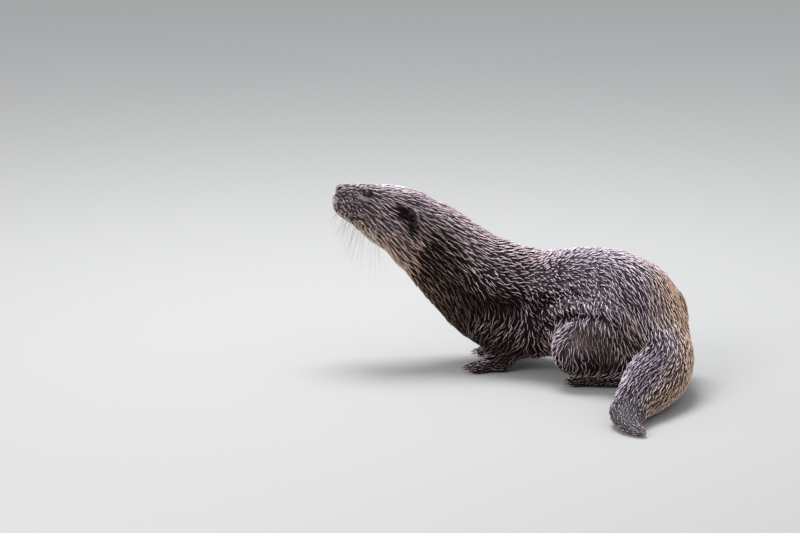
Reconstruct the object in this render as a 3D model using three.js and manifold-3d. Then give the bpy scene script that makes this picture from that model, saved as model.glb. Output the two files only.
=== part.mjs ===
// River otter: a still, life-size model, low on all fours with its head raised and its tail laid round
// its left side. Millimetres. +Z is up, +X runs from the nose towards the rump, -Y is the otter's left.
//
// The flesh is one smooth field, below zero inside the body. Each region is meshed from that field at a
// cell size that suits it, and thin cuts part the regions, so that they meet without overlap. The nose
// leather, ears and eyes are let into the flesh with the same thin gap, and the claws stand on the toes.

import * as THREE from "three";
import { mergeVertices } from "three/addons/utils/BufferGeometryUtils.js";
import Module from "manifold-3d";

const wasm = await Module();
wasm.setup();

// ---------------------------------------------------------------------------------------------------
// Driving dimensions
// ---------------------------------------------------------------------------------------------------
const CUT = 0.35; // width of the thin gap between two neighbouring pieces
const FLESH_BLEND = 16; // how softly the big masses run into each other
const SOLE_BLEND = 12; // the feet into the legs
const FACE_BLEND = 5; // and the small ones of the face
const BODY_SQUARENESS = 2.3; // 2 makes oval sections, and more squares them up
const FAR = 900; // larger than the whole model, for cutting blocks

// The body's line from the muzzle to the rump. A station is x, y, z, half height, half width.
const BODY_LINE = {
  muzzle_tip: [-263, 44, 235.5, 20.5, 22],
  muzzle: [-249, 44, 230.5, 26.5, 27],
  face: [-227, 45, 223, 34, 33],
  cheeks: [-204, 45, 214, 43, 40],
  nape: [-175, 46, 201.5, 48, 46],
  neck_top: [-147, 48, 181, 56, 51],
  neck: [-118, 49, 156, 61, 55],
  neck_root: [-88, 47, 129.5, 66.5, 60],
  shoulders: [-55, 41, 106, 76, 65],
  chest: [-18, 27, 94, 78, 68],
  waist: [24, 5, 93, 74.5, 68],
  loin: [63, -20, 102, 77, 70],
  hips: [102, -48, 106, 78, 72],
  rump: [136, -74, 98.5, 75, 69],
  rump_end: [156, -90, 81, 62, 58],
};
const BODY_ENDS = { nose: 13, rump: 54 }; // how far the rounded ends run past the line

// The tail leaves the rump, comes down to the floor, lies along it and turns its tip outwards.
const TAIL_LINE = {
  root: [150, -87, 84, 53, 54],
  base: [178, -132, 58, 44, 50],
  first: [174, -180, 42, 39, 48],
  second: [162, -224, 34, 35, 45],
  third: [148, -266, 28, 30, 40],
  fourth: [131, -307, 23, 25, 32],
  fifth: [121, -346, 16, 18, 23],
  sixth: [128, -382, 9.5, 11, 14],
  tip: [153, -408, 5, 6, 7],
};
const TAIL_ENDS = { root: 40, tip: 6 };

// Each pair of legs hangs from a girdle: its place, and the turn of the body there seen from above.
// In a girdle's own frame +X points back along the body and -Y to the otter's left.
const FORE_GIRDLE = { x: -50, y: 40, turn_deg: -16 };
const HIND_GIRDLE = { x: 110, y: -54, turn_deg: -33 };

// A leg is a chain of round joints, x, y, z, radius, and a foot with its heel, its toes and its width.
// Its share of the flesh is what lies under a slanting plane, inside an upright oval block.
const LEGS = {
  foreleg_left: {
    girdle: FORE_GIRDLE,
    side: -1,
    joints: { shoulder: [8, -36, 108, 42], elbow: [48, -43, 60, 28], wrist: [24, -48, 25, 17] },
    foot: { heel: [33, -46], toes: [-24, -58], height: 15, heel_width: 30, ball_width: 42, claw: 9 },
    block: { x: 14, side: 50, along: 68, across: 52, slant_deg: 52, inset: 2 },
  },
  foreleg_right: {
    girdle: FORE_GIRDLE,
    side: 1,
    joints: { shoulder: [6, 36, 108, 42], elbow: [40, 42, 60, 28], wrist: [14, 47, 25, 17] },
    foot: { heel: [22, 46], toes: [-38, 56], height: 15, heel_width: 30, ball_width: 42, claw: 9 },
    block: { x: 6, side: 50, along: 68, across: 52, slant_deg: 52, inset: 2 },
  },
  hindleg_left: {
    girdle: HIND_GIRDLE,
    side: -1,
    joints: { hip: [46, -34, 96, 53], knee: [-12, -72, 52, 31], ankle: [58, -38, 26, 18] },
    foot: { heel: [68, -33], toes: [-34, -54], height: 17, heel_width: 26, ball_width: 50, claw: 7 },
    block: { x: 24, side: 56, along: 82, across: 60, slant_deg: 52, inset: 4 },
  },
  hindleg_right: {
    girdle: HIND_GIRDLE,
    side: 1,
    joints: { hip: [46, 34, 96, 53], knee: [-8, 72, 52, 31], ankle: [74, 48, 26, 18] },
    foot: { heel: [84, 42], toes: [-20, 70], height: 17, heel_width: 26, ball_width: 50, claw: 7 },
    block: { x: 26, side: 56, along: 82, across: 60, slant_deg: 52, inset: 4 },
  },
};
// A foot's sections: how far along it they lie, and their half height and half width as shares of the
// foot's height and of its width at the heel or at the ball.
const SOLE_SECTIONS = {
  heel: { at: 0.08, high: 0.8, of: "heel_width", wide: 0.44 },
  instep: { at: 0.3, high: 0.78, of: "heel_width", wide: 0.52 },
  ball: { at: 0.58, high: 0.62, of: "ball_width", wide: 0.46 },
  toe_roots: { at: 0.78, high: 0.42, of: "ball_width", wide: 0.52 },
};
const SOLE_ROUND = { heel: 12, toes: 5 };
const SOLE_SINK = 1; // how far a foot's round underside would pass the floor, which cuts it flat
const TOES = 5;
const TOE = { radius: 5.2, length: 15, spread: 0.86, row: 1.06, curve: 33 };
const CLAW_BASE = 1.7; // radius
const CLAW_LIFT = 1.2; // above the toe's own line
const CLAW_DROOP = 0.22; // how far its tip bends down, as a share of its length

// The head. Places to the side are measured from its own middle plane.
const HEAD_MIDDLE_Y = 44.5;
const HEAD_PITCH_DEG = 20; // nose up
const WHISKER_PAD = { x: -252, side: 14.5, z: 228, radii: [20.5, 14, 16] };
const CHIN = { x: -258, z: 220, radii: [12, 11, 7] };
const JAW = { x: -206, side: 21, z: 200, radii: [30, 20, 23] };
const EYE = { x: -228.5, side: 21.5, z: 247.5, radius: 5.6 };
const EAR = { x: -161, side: 41, z: 221.5, radii: [2.2, 9.5, 10.5], lean_deg: 36, cup: 4 };
const NOSE = { x: -264.5, z: 248.5, radii: [8.2, 12, 7.8] };
const NOSTRIL = { x: -269.5, side: 7, z: 251, radii: [5.5, 3, 2.6] };

// Mesh cells, from fine to coarse.
const CELL = { head: 10.4, tail_tip: 10.5, foot: 13, leg: 16, tail: 17, neck: 19, trunk: 26 };

// ---------------------------------------------------------------------------------------------------
// Fields: functions of a point that are below zero inside, and near to a distance in millimetres
// ---------------------------------------------------------------------------------------------------
const UP = new THREE.Vector3(0, 0, 1);
const TINY = 1e-9;

function smoothUnion(a, b, softness) {
  const overlap = Math.max(softness - Math.abs(a - b), 0) / softness;
  return Math.min(a, b) - (overlap * overlap * softness) / 4;
}

function ellipsoid(centre, radii) {
  return (p) => {
    const [x, y, z] = [p.x - centre[0], p.y - centre[1], p.z - centre[2]];
    const [a, b, c] = radii;
    const near = Math.hypot(x / a, y / b, z / c);
    const steep = Math.hypot(x / (a * a), y / (b * b), z / (c * c));
    return steep > TINY ? (near * (near - 1)) / steep : -Math.min(a, b, c);
  };
}

// A limb between two round joints, each a place and a radius.
function limb([ax, ay, az, ar], [bx, by, bz, br]) {
  const a = new THREE.Vector3(ax, ay, az);
  const run = new THREE.Vector3(bx, by, bz).sub(a);
  return (p) => {
    const from = p.clone().sub(a);
    const t = THREE.MathUtils.clamp(from.dot(run) / run.lengthSq(), 0, 1);
    return from.addScaledVector(run, -t).length() - THREE.MathUtils.lerp(ar, br, t);
  };
}

// A body with oval sections, swept along a smooth line through its stations, with rounded ends.
function sweep(line, startRound, endRound, squareness = 2, stepsPerStation = 6) {
  const stations = Object.values(line);
  const path = new THREE.CatmullRomCurve3(stations.map(([x, y, z]) => new THREE.Vector3(x, y, z)));
  const sizes = new THREE.CatmullRomCurve3(stations.map(([, , , h, w]) => new THREE.Vector3(h, w, 0)));
  const steps = (stations.length - 1) * stepsPerStation;
  const samples = Array.from({ length: steps + 1 }, (_, i) => {
    const along = path.getTangent(i / steps);
    const across = new THREE.Vector3().crossVectors(along, UP).normalize();
    const over = new THREE.Vector3().crossVectors(across, along);
    const size = sizes.getPoint(i / steps);
    return { centre: path.getPoint(i / steps), along, across, over, high: size.x, wide: size.y };
  });
  return (p) => {
    let nearest = samples[0];
    let least = Infinity;
    for (const s of samples) {
      const d = s.centre.distanceToSquared(p);
      if (d < least) {
        least = d;
        nearest = s;
      }
    }
    const i = samples.indexOf(nearest);
    const from = p.clone().sub(nearest.centre);
    const ahead = from.dot(nearest.along);
    const next = samples[THREE.MathUtils.clamp(i + Math.sign(ahead), 0, steps)];
    const gap = next.centre.distanceTo(nearest.centre);
    const share = gap > 0 ? Math.min(Math.abs(ahead) / gap, 1) : 0;
    const high = THREE.MathUtils.lerp(nearest.high, next.high, share);
    const wide = THREE.MathUtils.lerp(nearest.wide, next.wide, share);
    const centre = nearest.centre.clone().lerp(next.centre, share);
    from.copy(p).sub(centre);
    const past = i === 0 && ahead < 0 ? startRound : i === steps && ahead > 0 ? endRound : 0;
    const [u, v] = [from.dot(nearest.over), from.dot(nearest.across)];
    const w = past ? from.dot(nearest.along) / past : 0;
    const square = (Math.abs(u / high) ** squareness + Math.abs(v / wide) ** squareness) ** (1 / squareness);
    const near = Math.hypot(square, w);
    const steep = Math.hypot(u / (high * high), v / (wide * wide), past ? w / past : 0);
    return steep > TINY ? (near * (near - 1)) / steep : -Math.min(high, wide);
  };
}

// ---------------------------------------------------------------------------------------------------
// The flesh
// ---------------------------------------------------------------------------------------------------
function fromGirdle(girdle, [x, y, ...rest]) {
  const turn = THREE.MathUtils.degToRad(girdle.turn_deg);
  const at = new THREE.Vector2(x, y).rotateAround(new THREE.Vector2(), turn);
  return [girdle.x + at.x, girdle.y + at.y, ...rest];
}

function limbsOf(leg) {
  const joints = Object.values(leg.joints).map((j) => fromGirdle(leg.girdle, j));
  return joints.slice(1).map((joint, i) => limb(joints[i], joint));
}

// A foot is a low sweep from its heel to the roots of its toes, widest at the ball.
function soleOf(leg) {
  const [hx, hy] = fromGirdle(leg.girdle, leg.foot.heel);
  const [tx, ty] = fromGirdle(leg.girdle, leg.foot.toes);
  const stations = Object.values(SOLE_SECTIONS).map(({ at, high, of, wide }) => {
    const half = high * leg.foot.height;
    const lerp = THREE.MathUtils.lerp;
    return [lerp(hx, tx, at), lerp(hy, ty, at), half - SOLE_SINK, half, wide * leg.foot[of]];
  });
  return sweep(stations, SOLE_ROUND.heel, SOLE_ROUND.toes);
}

const body = sweep(BODY_LINE, BODY_ENDS.nose, BODY_ENDS.rump, BODY_SQUARENESS);
const tail = sweep(TAIL_LINE, TAIL_ENDS.root, TAIL_ENDS.tip);
const limbs = Object.values(LEGS).flatMap(limbsOf);
const soles = Object.values(LEGS).map(soleOf);
const faceMasses = [-1, 1]
  .flatMap((side) => [
    ellipsoid([WHISKER_PAD.x, HEAD_MIDDLE_Y + side * WHISKER_PAD.side, WHISKER_PAD.z], WHISKER_PAD.radii),
    ellipsoid([JAW.x, HEAD_MIDDLE_Y + side * JAW.side, JAW.z], JAW.radii),
  ])
  .concat(ellipsoid([CHIN.x, HEAD_MIDDLE_Y, CHIN.z], CHIN.radii));

function flesh(p) {
  let d = smoothUnion(body(p), tail(p), FLESH_BLEND);
  for (const f of limbs) d = smoothUnion(d, f(p), FLESH_BLEND);
  for (const f of soles) d = smoothUnion(d, f(p), SOLE_BLEND);
  for (const f of faceMasses) d = smoothUnion(d, f(p), FACE_BLEND);
  return d;
}

// ---------------------------------------------------------------------------------------------------
// From a field to a closed solid
// ---------------------------------------------------------------------------------------------------
const STEP = 0.4; // either way, for a field's slope
const PASSES = 2; // of drawing a vertex onto the surface
const LEAST_SLOPE = 0.2;

function slope(field, p) {
  const at = (x, y, z) => field(new THREE.Vector3(p.x + x, p.y + y, p.z + z));
  return new THREE.Vector3(
    at(STEP, 0, 0) - at(-STEP, 0, 0),
    at(0, STEP, 0) - at(0, -STEP, 0),
    at(0, 0, STEP) - at(0, 0, -STEP),
  ).divideScalar(2 * STEP);
}

// One vertex for each cell that the surface crosses, drawn onto the surface, and one quad for each grid
// edge that it crosses. The outermost samples count as outside, so the mesh always closes.
function meshField(field, low, high, cell) {
  const count = [0, 1, 2].map((k) => Math.ceil((high[k] - low[k]) / cell) + 1);
  const index = (i, j, k) => (k * count[1] + j) * count[0] + i;
  const place = (i, j, k) => new THREE.Vector3(low[0] + i * cell, low[1] + j * cell, low[2] + k * cell);
  const inner = (i, j, k) => [i, j, k].every((n, axis) => n > 0 && n < count[axis] - 1);
  const value = new Float64Array(count[0] * count[1] * count[2]);
  for (let k = 0; k < count[2]; k++)
    for (let j = 0; j < count[1]; j++)
      for (let i = 0; i < count[0]; i++)
        value[index(i, j, k)] = inner(i, j, k) ? field(place(i, j, k)) : cell;

  const positions = [];
  const vertexOf = new Map();
  const corners = Array.from({ length: 8 }, (_, c) => [c & 1, (c >> 1) & 1, c >> 2]);
  const edges = corners.flatMap((a, m) =>
    [1, 2, 4].filter((bit) => !(m & bit)).map((bit) => [a, corners[m | bit]]),
  );
  for (let k = 0; k < count[2] - 1; k++)
    for (let j = 0; j < count[1] - 1; j++)
      for (let i = 0; i < count[0] - 1; i++) {
        const sum = new THREE.Vector3();
        let crossings = 0;
        for (const [a, b] of edges) {
          const va = value[index(i + a[0], j + a[1], k + a[2])];
          const vb = value[index(i + b[0], j + b[1], k + b[2])];
          if (va < 0 === vb < 0) continue;
          const from = place(i + a[0], j + a[1], k + a[2]);
          sum.add(from.lerp(place(i + b[0], j + b[1], k + b[2]), va / (va - vb)));
          crossings++;
        }
        if (!crossings) continue;
        const p = sum.divideScalar(crossings);
        const whole = inner(i, j, k) && inner(i + 1, j + 1, k + 1);
        for (let pass = 0; whole && pass < PASSES; pass++) {
          const g = slope(field, p);
          const move = -field(p) / Math.max(g.lengthSq(), LEAST_SLOPE);
          p.addScaledVector(g, THREE.MathUtils.clamp(move, -cell / 3, cell / 3));
        }
        vertexOf.set(index(i, j, k), positions.length / 3);
        positions.push(p.x, p.y, p.z);
      }

  const corner = (v) => new THREE.Vector3().fromArray(positions, 3 * v);
  const triangles = [];
  for (let k = 0; k < count[2]; k++)
    for (let j = 0; j < count[1]; j++)
      for (let i = 0; i < count[0]; i++)
        for (let axis = 0; axis < 3; axis++) {
          const next = [i, j, k].map((n, a) => (a === axis ? n + 1 : n));
          if (next[axis] >= count[axis]) continue;
          const inside = value[index(i, j, k)] < 0;
          if (inside === value[index(...next)] < 0) continue;
          const [b, c] = [(axis + 1) % 3, (axis + 2) % 3];
          const cellAt = (db, dc) => {
            const n = [i, j, k];
            n[b] -= db;
            n[c] -= dc;
            return vertexOf.get(index(...n));
          };
          const quad = [cellAt(1, 1), cellAt(0, 1), cellAt(0, 0), cellAt(1, 0)];
          if (!inside) quad.reverse();
          const [q0, q1, q2, q3] = quad;
          const even = corner(q0).distanceTo(corner(q2)) <= corner(q1).distanceTo(corner(q3));
          triangles.push(...(even ? [q0, q1, q2, q0, q2, q3] : [q0, q1, q3, q1, q2, q3]));
        }
  return solidFrom(new Float32Array(positions), new Uint32Array(triangles));
}

function solidFrom(vertProperties, triVerts) {
  return new wasm.Manifold(new wasm.Mesh({ numProp: 3, vertProperties, triVerts }));
}

function solidOf(geometry) {
  const bare = geometry.clone();
  bare.deleteAttribute("normal");
  bare.deleteAttribute("uv");
  const merged = mergeVertices(bare, 1e-3);
  return solidFrom(merged.attributes.position.array, new Uint32Array(merged.index.array));
}

// ---------------------------------------------------------------------------------------------------
// Cutting blocks
// ---------------------------------------------------------------------------------------------------
// All that lies beyond a plane, on the side its normal points to, and more than inset past it.
function beyond(point, normal, inset = CUT / 2) {
  const n = new THREE.Vector3(...normal).normalize();
  const block = new THREE.BoxGeometry(2 * FAR, 2 * FAR, 2 * FAR);
  block.translate(0, 0, FAR + inset);
  block.applyQuaternion(new THREE.Quaternion().setFromUnitVectors(UP, n));
  block.translate(...point);
  return solidOf(block);
}

const behind = (point, normal) => beyond(point, normal.map((n) => -n));
const overFloor = beyond([0, 0, 0], [0, 0, 1], 0);

// The boxes in which the regions are meshed, each its lowest and highest corner. A leg's is measured from
// the outside of its girdle.
const REGIONS = {
  head: [[-290, -25, 130], [-110, 115, 275]],
  neck: [[-215, -50, 40], [-30, 150, 280]],
  trunk: [[-190, -230, -20], [280, 190, 250]],
  tail: [[50, -440, -20], [290, -80, 150]],
  tail_tip: [[70, -440, -20], [200, -290, 70]],
};
const LEG_REGION = { side: 50, low: [-150, -120, -20], high: [150, 120, 190] };

// The planes that part the body, each a point and a normal. All but the ankle's point towards the tail.
const PLANES = {
  nape: [[-150, 47, 205], [0.93, 0, -0.36]],
  throat: [[-92, 47, 132], [0.79, -0.03, -0.61]],
  waist: [[22, 6, 93], [0.87, -0.49, 0]],
  loin: [[74, -28, 100], [0.82, -0.57, 0]],
  tail_root: [[182, -128, 58], [0.42, -0.9, 0]],
  tail_middle: [[172, -228, 33], [-0.47, -0.88, 0]],
  tail_end: [[127, -326, 20], [-0.2, -0.98, 0]],
  ankle: [[0, 0, 25], [0, 0, 1]],
};

function legBlock(leg, grow) {
  const { x, side, along, across, slant_deg, inset } = leg.block;
  const inGirdle = new THREE.Matrix4()
    .makeRotationZ(THREE.MathUtils.degToRad(leg.girdle.turn_deg))
    .setPosition(leg.girdle.x, leg.girdle.y, 0);
  const post = new THREE.CylinderGeometry(1, 1, FAR, 20).rotateX(Math.PI / 2);
  post.scale(along + grow, across + grow, 1).translate(x, leg.side * side, 0).applyMatrix4(inGirdle);
  const slant = THREE.MathUtils.degToRad(slant_deg);
  const outward = new THREE.Vector3(0, leg.side * Math.sin(slant), -Math.cos(slant));
  const start = outward.clone().multiplyScalar(inset).applyMatrix4(inGirdle);
  const normal = outward.transformDirection(inGirdle);
  return solidOf(post).intersect(beyond(start.toArray(), normal.toArray(), CUT / 2 - grow));
}

// ---------------------------------------------------------------------------------------------------
// Pieces let into the flesh: each has its own solid, and a slightly larger one that clears its seat
// ---------------------------------------------------------------------------------------------------
// A ball stretched to its radii, then shaped, turned and set in place.
function ball(radii, centre, { around = 12, shape, turn } = {}) {
  const sphere = new THREE.SphereGeometry(1, around, (2 * around) / 3).scale(...radii);
  const place = sphere.attributes.position;
  for (let i = 0; shape && i < place.count; i++)
    place.setXYZ(i, ...shape(new THREE.Vector3().fromBufferAttribute(place, i)).toArray());
  if (turn) sphere.applyQuaternion(turn);
  return solidOf(sphere.translate(...centre));
}

function letIn(radii, centre, form) {
  const grown = radii.map((r) => r + CUT);
  return { solid: ball(radii, centre, form), seat: ball(grown, centre, form) };
}

function makeNose() {
  const nose = letIn(NOSE.radii, [NOSE.x, HEAD_MIDDLE_Y, NOSE.z]);
  for (const side of [-1, 1]) {
    const centre = [NOSTRIL.x, HEAD_MIDDLE_Y + side * NOSTRIL.side, NOSTRIL.z];
    nose.solid = nose.solid.subtract(ball(NOSTRIL.radii, centre, { around: 6 }));
  }
  return nose;
}

// An ear is a small rounded flap that stands out and leans back, with its rim cupped forwards.
function makeEar(side) {
  const centre = [EAR.x, HEAD_MIDDLE_Y + side * EAR.side, EAR.z];
  const lean = new THREE.Quaternion().setFromAxisAngle(UP, -side * THREE.MathUtils.degToRad(EAR.lean_deg));
  const pitch = new THREE.Quaternion().setFromAxisAngle(
    new THREE.Vector3(0, 1, 0),
    THREE.MathUtils.degToRad(HEAD_PITCH_DEG),
  );
  const [, wide, high] = EAR.radii;
  const cupped = (p) => p.setX(p.x - EAR.cup * ((p.y / wide) ** 2 + (p.z / high) ** 2));
  return letIn(EAR.radii, centre, { shape: cupped, turn: pitch.multiply(lean) });
}

function makeEye(side) {
  return letIn(Array(3).fill(EYE.radius), [EYE.x, HEAD_MIDDLE_Y + side * EYE.side, EYE.z]);
}

// The toes fan out from the ball of the foot. Each ends in a claw, a short bent cone.
function toesOf(leg) {
  const { heel, toes, ball_width, claw } = leg.foot;
  const [hx, hy] = fromGirdle(leg.girdle, heel);
  const [tx, ty] = fromGirdle(leg.girdle, toes);
  const forward = new THREE.Vector3(tx - hx, ty - hy, 0).normalize();
  const outward = new THREE.Vector3().crossVectors(UP, forward);
  return Array.from({ length: TOES }, (_, i) => {
    const across = i / (TOES - 1) - 0.5;
    const aim = forward.clone().addScaledVector(outward, across * TOE.spread).normalize();
    const tip = new THREE.Vector3(tx, ty, TOE.radius - SOLE_SINK)
      .addScaledVector(forward, -TOE.curve * across * across)
      .addScaledVector(outward, across * TOE.row * ball_width);
    const toe = new THREE.CapsuleGeometry(TOE.radius, TOE.length, 1, 6);
    toe.applyQuaternion(new THREE.Quaternion().setFromUnitVectors(new THREE.Vector3(0, 1, 0), aim));
    toe.translate(...tip.clone().addScaledVector(aim, -TOE.length / 2 - TOE.radius).toArray());
    return { toe: solidOf(toe), claw: makeClaw(tip, aim, claw) };
  });
}

function makeClaw(tip, aim, length) {
  const profile = [[0, 0], [CLAW_BASE, 0], [0.6 * CLAW_BASE, 0.6 * length], [0, length]];
  const cone = new THREE.LatheGeometry(profile.map(([r, y]) => new THREE.Vector2(r, y)), 5);
  const place = cone.attributes.position;
  for (let i = 0; i < place.count; i++)
    place.setZ(i, place.getZ(i) - CLAW_DROOP * length * (place.getY(i) / length) ** 2);
  const across = new THREE.Vector3().crossVectors(aim, UP).normalize();
  cone.applyMatrix4(new THREE.Matrix4().makeBasis(across, aim, UP));
  const root = tip.clone().addScaledVector(aim, CUT).addScaledVector(UP, CLAW_LIFT);
  return solidOf(cone.translate(...root.toArray()));
}

// ---------------------------------------------------------------------------------------------------
// The model
// ---------------------------------------------------------------------------------------------------
const finish = (color, roughness, metalness = 0) =>
  new THREE.MeshStandardMaterial({ color, roughness, metalness });
const MATERIALS = {
  coat: finish("#3b2e29", 0.6),
  skin: finish("#3a3230", 0.5),
  eye: finish("#0d0908", 0.08),
  claw: finish("#4a3c33", 0.35),
};

const otter = new THREE.Group();
otter.name = "river_otter";

function addNode(name, solid, material) {
  const { vertProperties, triVerts, numProp, numVert } = solid.getMesh();
  const position = new Float32Array(numVert * 3);
  for (let i = 0; i < numVert; i++)
    position.set(vertProperties.subarray(i * numProp, i * numProp + 3), 3 * i);
  const geometry = new THREE.BufferGeometry();
  geometry.setAttribute("position", new THREE.BufferAttribute(position, 3));
  geometry.setIndex(new THREE.BufferAttribute(triVerts, 1));
  geometry.computeVertexNormals();
  const mesh = new THREE.Mesh(geometry, material);
  mesh.name = name;
  otter.add(mesh);
}

// The largest of a cut's pieces. A cut can leave slivers behind, which are dropped.
function main(solid) {
  return solid.decompose().reduce((a, b) => (b.volume() > a.volume() ? b : a));
}

// A region's flesh, meshed inside a box and kept over the floor.
const mass = ([low, high], cell) => meshField(flesh, low, high, cell).intersect(overFloor);

const legCells = Object.values(LEGS).map((leg) => legBlock(leg, CUT));
const withoutLegs = (solid) => legCells.reduce((left, cell) => left.subtract(cell), solid);

const nose = makeNose();
let head = mass(REGIONS.head, CELL.head).intersect(behind(...PLANES.nape)).subtract(nose.seat);
addNode("nose_leather", nose.solid, MATERIALS.skin);
for (const [name, side] of [["left", -1], ["right", 1]]) {
  const [eye, ear] = [makeEye(side), makeEar(side)];
  head = head.subtract(eye.seat).subtract(ear.seat);
  addNode("eye_" + name, eye.solid, MATERIALS.eye);
  addNode("ear_" + name, main(ear.solid), MATERIALS.coat);
}
addNode("head", main(head), MATERIALS.coat);

const neck = mass(REGIONS.neck, CELL.neck)
  .intersect(beyond(...PLANES.nape))
  .intersect(behind(...PLANES.throat));
addNode("neck", main(neck), MATERIALS.coat);

const trunk = withoutLegs(mass(REGIONS.trunk, CELL.trunk));
const chest = trunk.intersect(beyond(...PLANES.throat)).intersect(behind(...PLANES.waist));
const belly = trunk.intersect(beyond(...PLANES.waist)).intersect(behind(...PLANES.loin));
const hips = trunk.intersect(beyond(...PLANES.loin)).intersect(behind(...PLANES.tail_root));
addNode("chest", main(chest), MATERIALS.coat);
addNode("belly", main(belly), MATERIALS.coat);
addNode("hips", main(hips), MATERIALS.coat);

const tailMass = mass(REGIONS.tail, CELL.tail).intersect(beyond(...PLANES.tail_root));
const tailParts = {
  tail_root: tailMass.intersect(behind(...PLANES.tail_middle)),
  tail_middle: tailMass.intersect(beyond(...PLANES.tail_middle)).intersect(behind(...PLANES.tail_end)),
  tail_tip: mass(REGIONS.tail_tip, CELL.tail_tip).intersect(beyond(...PLANES.tail_end)),
};
for (const [name, solid] of Object.entries(tailParts))
  addNode(name, main(withoutLegs(solid)), MATERIALS.coat);

for (const [name, leg] of Object.entries(LEGS)) {
  const start = [...fromGirdle(leg.girdle, [0, leg.side * LEG_REGION.side]), 0];
  const region = [LEG_REGION.low, LEG_REGION.high].map((corner) => corner.map((c, i) => c + start[i]));
  const block = legBlock(leg, 0).intersect(behind(...PLANES.tail_root));
  const upper = mass(region, CELL.leg).intersect(block).intersect(beyond(...PLANES.ankle));
  let foot = mass(region, CELL.foot).intersect(block).intersect(behind(...PLANES.ankle));
  toesOf(leg).forEach(({ toe, claw }, i) => {
    foot = foot.add(toe.intersect(overFloor));
    addNode(`claw_${name}_${i + 1}`, claw, MATERIALS.claw);
  });
  addNode(name, main(upper), MATERIALS.coat);
  addNode(name.replace("leg", "foot"), main(foot), MATERIALS.coat);
}

// The origin is on the floor, in the middle of the model's own box.
const box = new THREE.Box3().setFromObject(otter);
const middle = box.getCenter(new THREE.Vector3());
otter.position.set(-middle.x, -middle.y, -box.min.z);

export default otter;
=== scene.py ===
import math

import bmesh
import bpy
import numpy as np
from mathutils import Matrix, Vector, kdtree
from mathutils.bvhtree import BVHTree


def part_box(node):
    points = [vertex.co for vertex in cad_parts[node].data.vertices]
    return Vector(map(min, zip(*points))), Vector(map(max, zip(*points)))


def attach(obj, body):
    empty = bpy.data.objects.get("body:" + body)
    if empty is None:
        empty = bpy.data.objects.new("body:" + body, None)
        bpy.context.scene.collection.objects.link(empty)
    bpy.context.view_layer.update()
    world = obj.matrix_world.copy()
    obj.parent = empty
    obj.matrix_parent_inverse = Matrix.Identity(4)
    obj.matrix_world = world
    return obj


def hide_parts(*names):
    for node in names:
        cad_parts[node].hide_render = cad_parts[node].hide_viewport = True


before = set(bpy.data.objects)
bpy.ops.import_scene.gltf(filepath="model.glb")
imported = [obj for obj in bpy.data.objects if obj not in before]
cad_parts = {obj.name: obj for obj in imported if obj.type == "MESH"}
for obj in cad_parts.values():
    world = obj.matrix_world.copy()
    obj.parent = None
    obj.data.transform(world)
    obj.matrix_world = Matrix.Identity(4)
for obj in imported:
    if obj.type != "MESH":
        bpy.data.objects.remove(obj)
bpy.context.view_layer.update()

# The view: from the animal's left and a little above, through a long lens, framed from ahead of the
# nose to behind the rump.
VIEW_POINT = Vector((-0.1577, 0.139, 0.148))
VIEW_DISTANCE = 7.0
VIEW_ELEVATION = math.radians(12)
LENS_MM = 225
SENSOR_MM = 36

camera_data = bpy.data.cameras.new("camera")
camera_data.lens = LENS_MM
camera_data.sensor_width = SENSOR_MM
camera = bpy.data.objects.new("camera", camera_data)
bpy.context.collection.objects.link(camera)
away = Vector((0, -math.cos(VIEW_ELEVATION), math.sin(VIEW_ELEVATION)))
camera.location = VIEW_POINT + VIEW_DISTANCE * away
camera.rotation_euler = away.to_track_quat("Z", "Y").to_euler()
bpy.context.scene.camera = camera
bpy.context.scene.view_settings.view_transform = "Standard"


# The studio: a plain pale floor, a bright even sky and two broad soft lamps, one overhead and one in
# front.
FLOOR_SIZE = 60.0
FLOOR_COLOUR = (0.47, 0.465, 0.455, 1)
SKY_COLOUR = (0.93, 0.96, 1.0, 1)
SKY_STRENGTH = 0.72
LAMPS = {
    "overhead": {"place": (-0.25, 0.75, 2.1), "size": 1.2, "watts": 46, "colour": (0.97, 0.98, 1.0)},
    "front": {"place": (-1.4, -2.0, 1.5), "size": 1.5, "watts": 32, "colour": (1.0, 0.98, 0.97)},
}

world = bpy.data.worlds.new("sky")
world.use_nodes = True
world.node_tree.nodes["Background"].inputs["Color"].default_value = SKY_COLOUR
world.node_tree.nodes["Background"].inputs["Strength"].default_value = SKY_STRENGTH
bpy.context.scene.world = world

for lamp_name, lamp in LAMPS.items():
    lamp_data = bpy.data.lights.new(lamp_name, "AREA")
    lamp_data.shape = "DISK"
    lamp_data.size = lamp["size"]
    lamp_data.energy = lamp["watts"]
    lamp_data.color = lamp["colour"]
    lamp_object = bpy.data.objects.new(lamp_name, lamp_data)
    lamp_object.location = lamp["place"]
    lamp_object.rotation_euler = Vector(lamp["place"]).to_track_quat("Z", "Y").to_euler()
    bpy.context.collection.objects.link(lamp_object)


def new_piece(name, bm_or_mesh):
    """A new object at the origin that holds this mesh."""
    mesh = bm_or_mesh
    if isinstance(bm_or_mesh, bmesh.types.BMesh):
        mesh = bpy.data.meshes.new(name)
        bm_or_mesh.to_mesh(mesh)
        bm_or_mesh.free()
    piece = bpy.data.objects.new(name, mesh)
    bpy.context.collection.objects.link(piece)
    return piece


def smooth(piece):
    """Shades a piece's faces smoothly."""
    piece.data.polygons.foreach_set("use_smooth", np.ones(len(piece.data.polygons), bool))


def new_material(name, **sockets):
    """A Principled material with these socket values, and its node tree and shader."""
    material = bpy.data.materials.new(name)
    material.use_nodes = True
    shader = material.node_tree.nodes["Principled BSDF"]
    for socket, value in sockets.items():
        shader.inputs[socket.replace("_", " ")].default_value = value
    return material, material.node_tree, shader


def socket_of(sockets, name):
    """The socket of that name that the node's settings leave in use."""
    return next(s for s in sockets if s.name == name and s.enabled)


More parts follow.
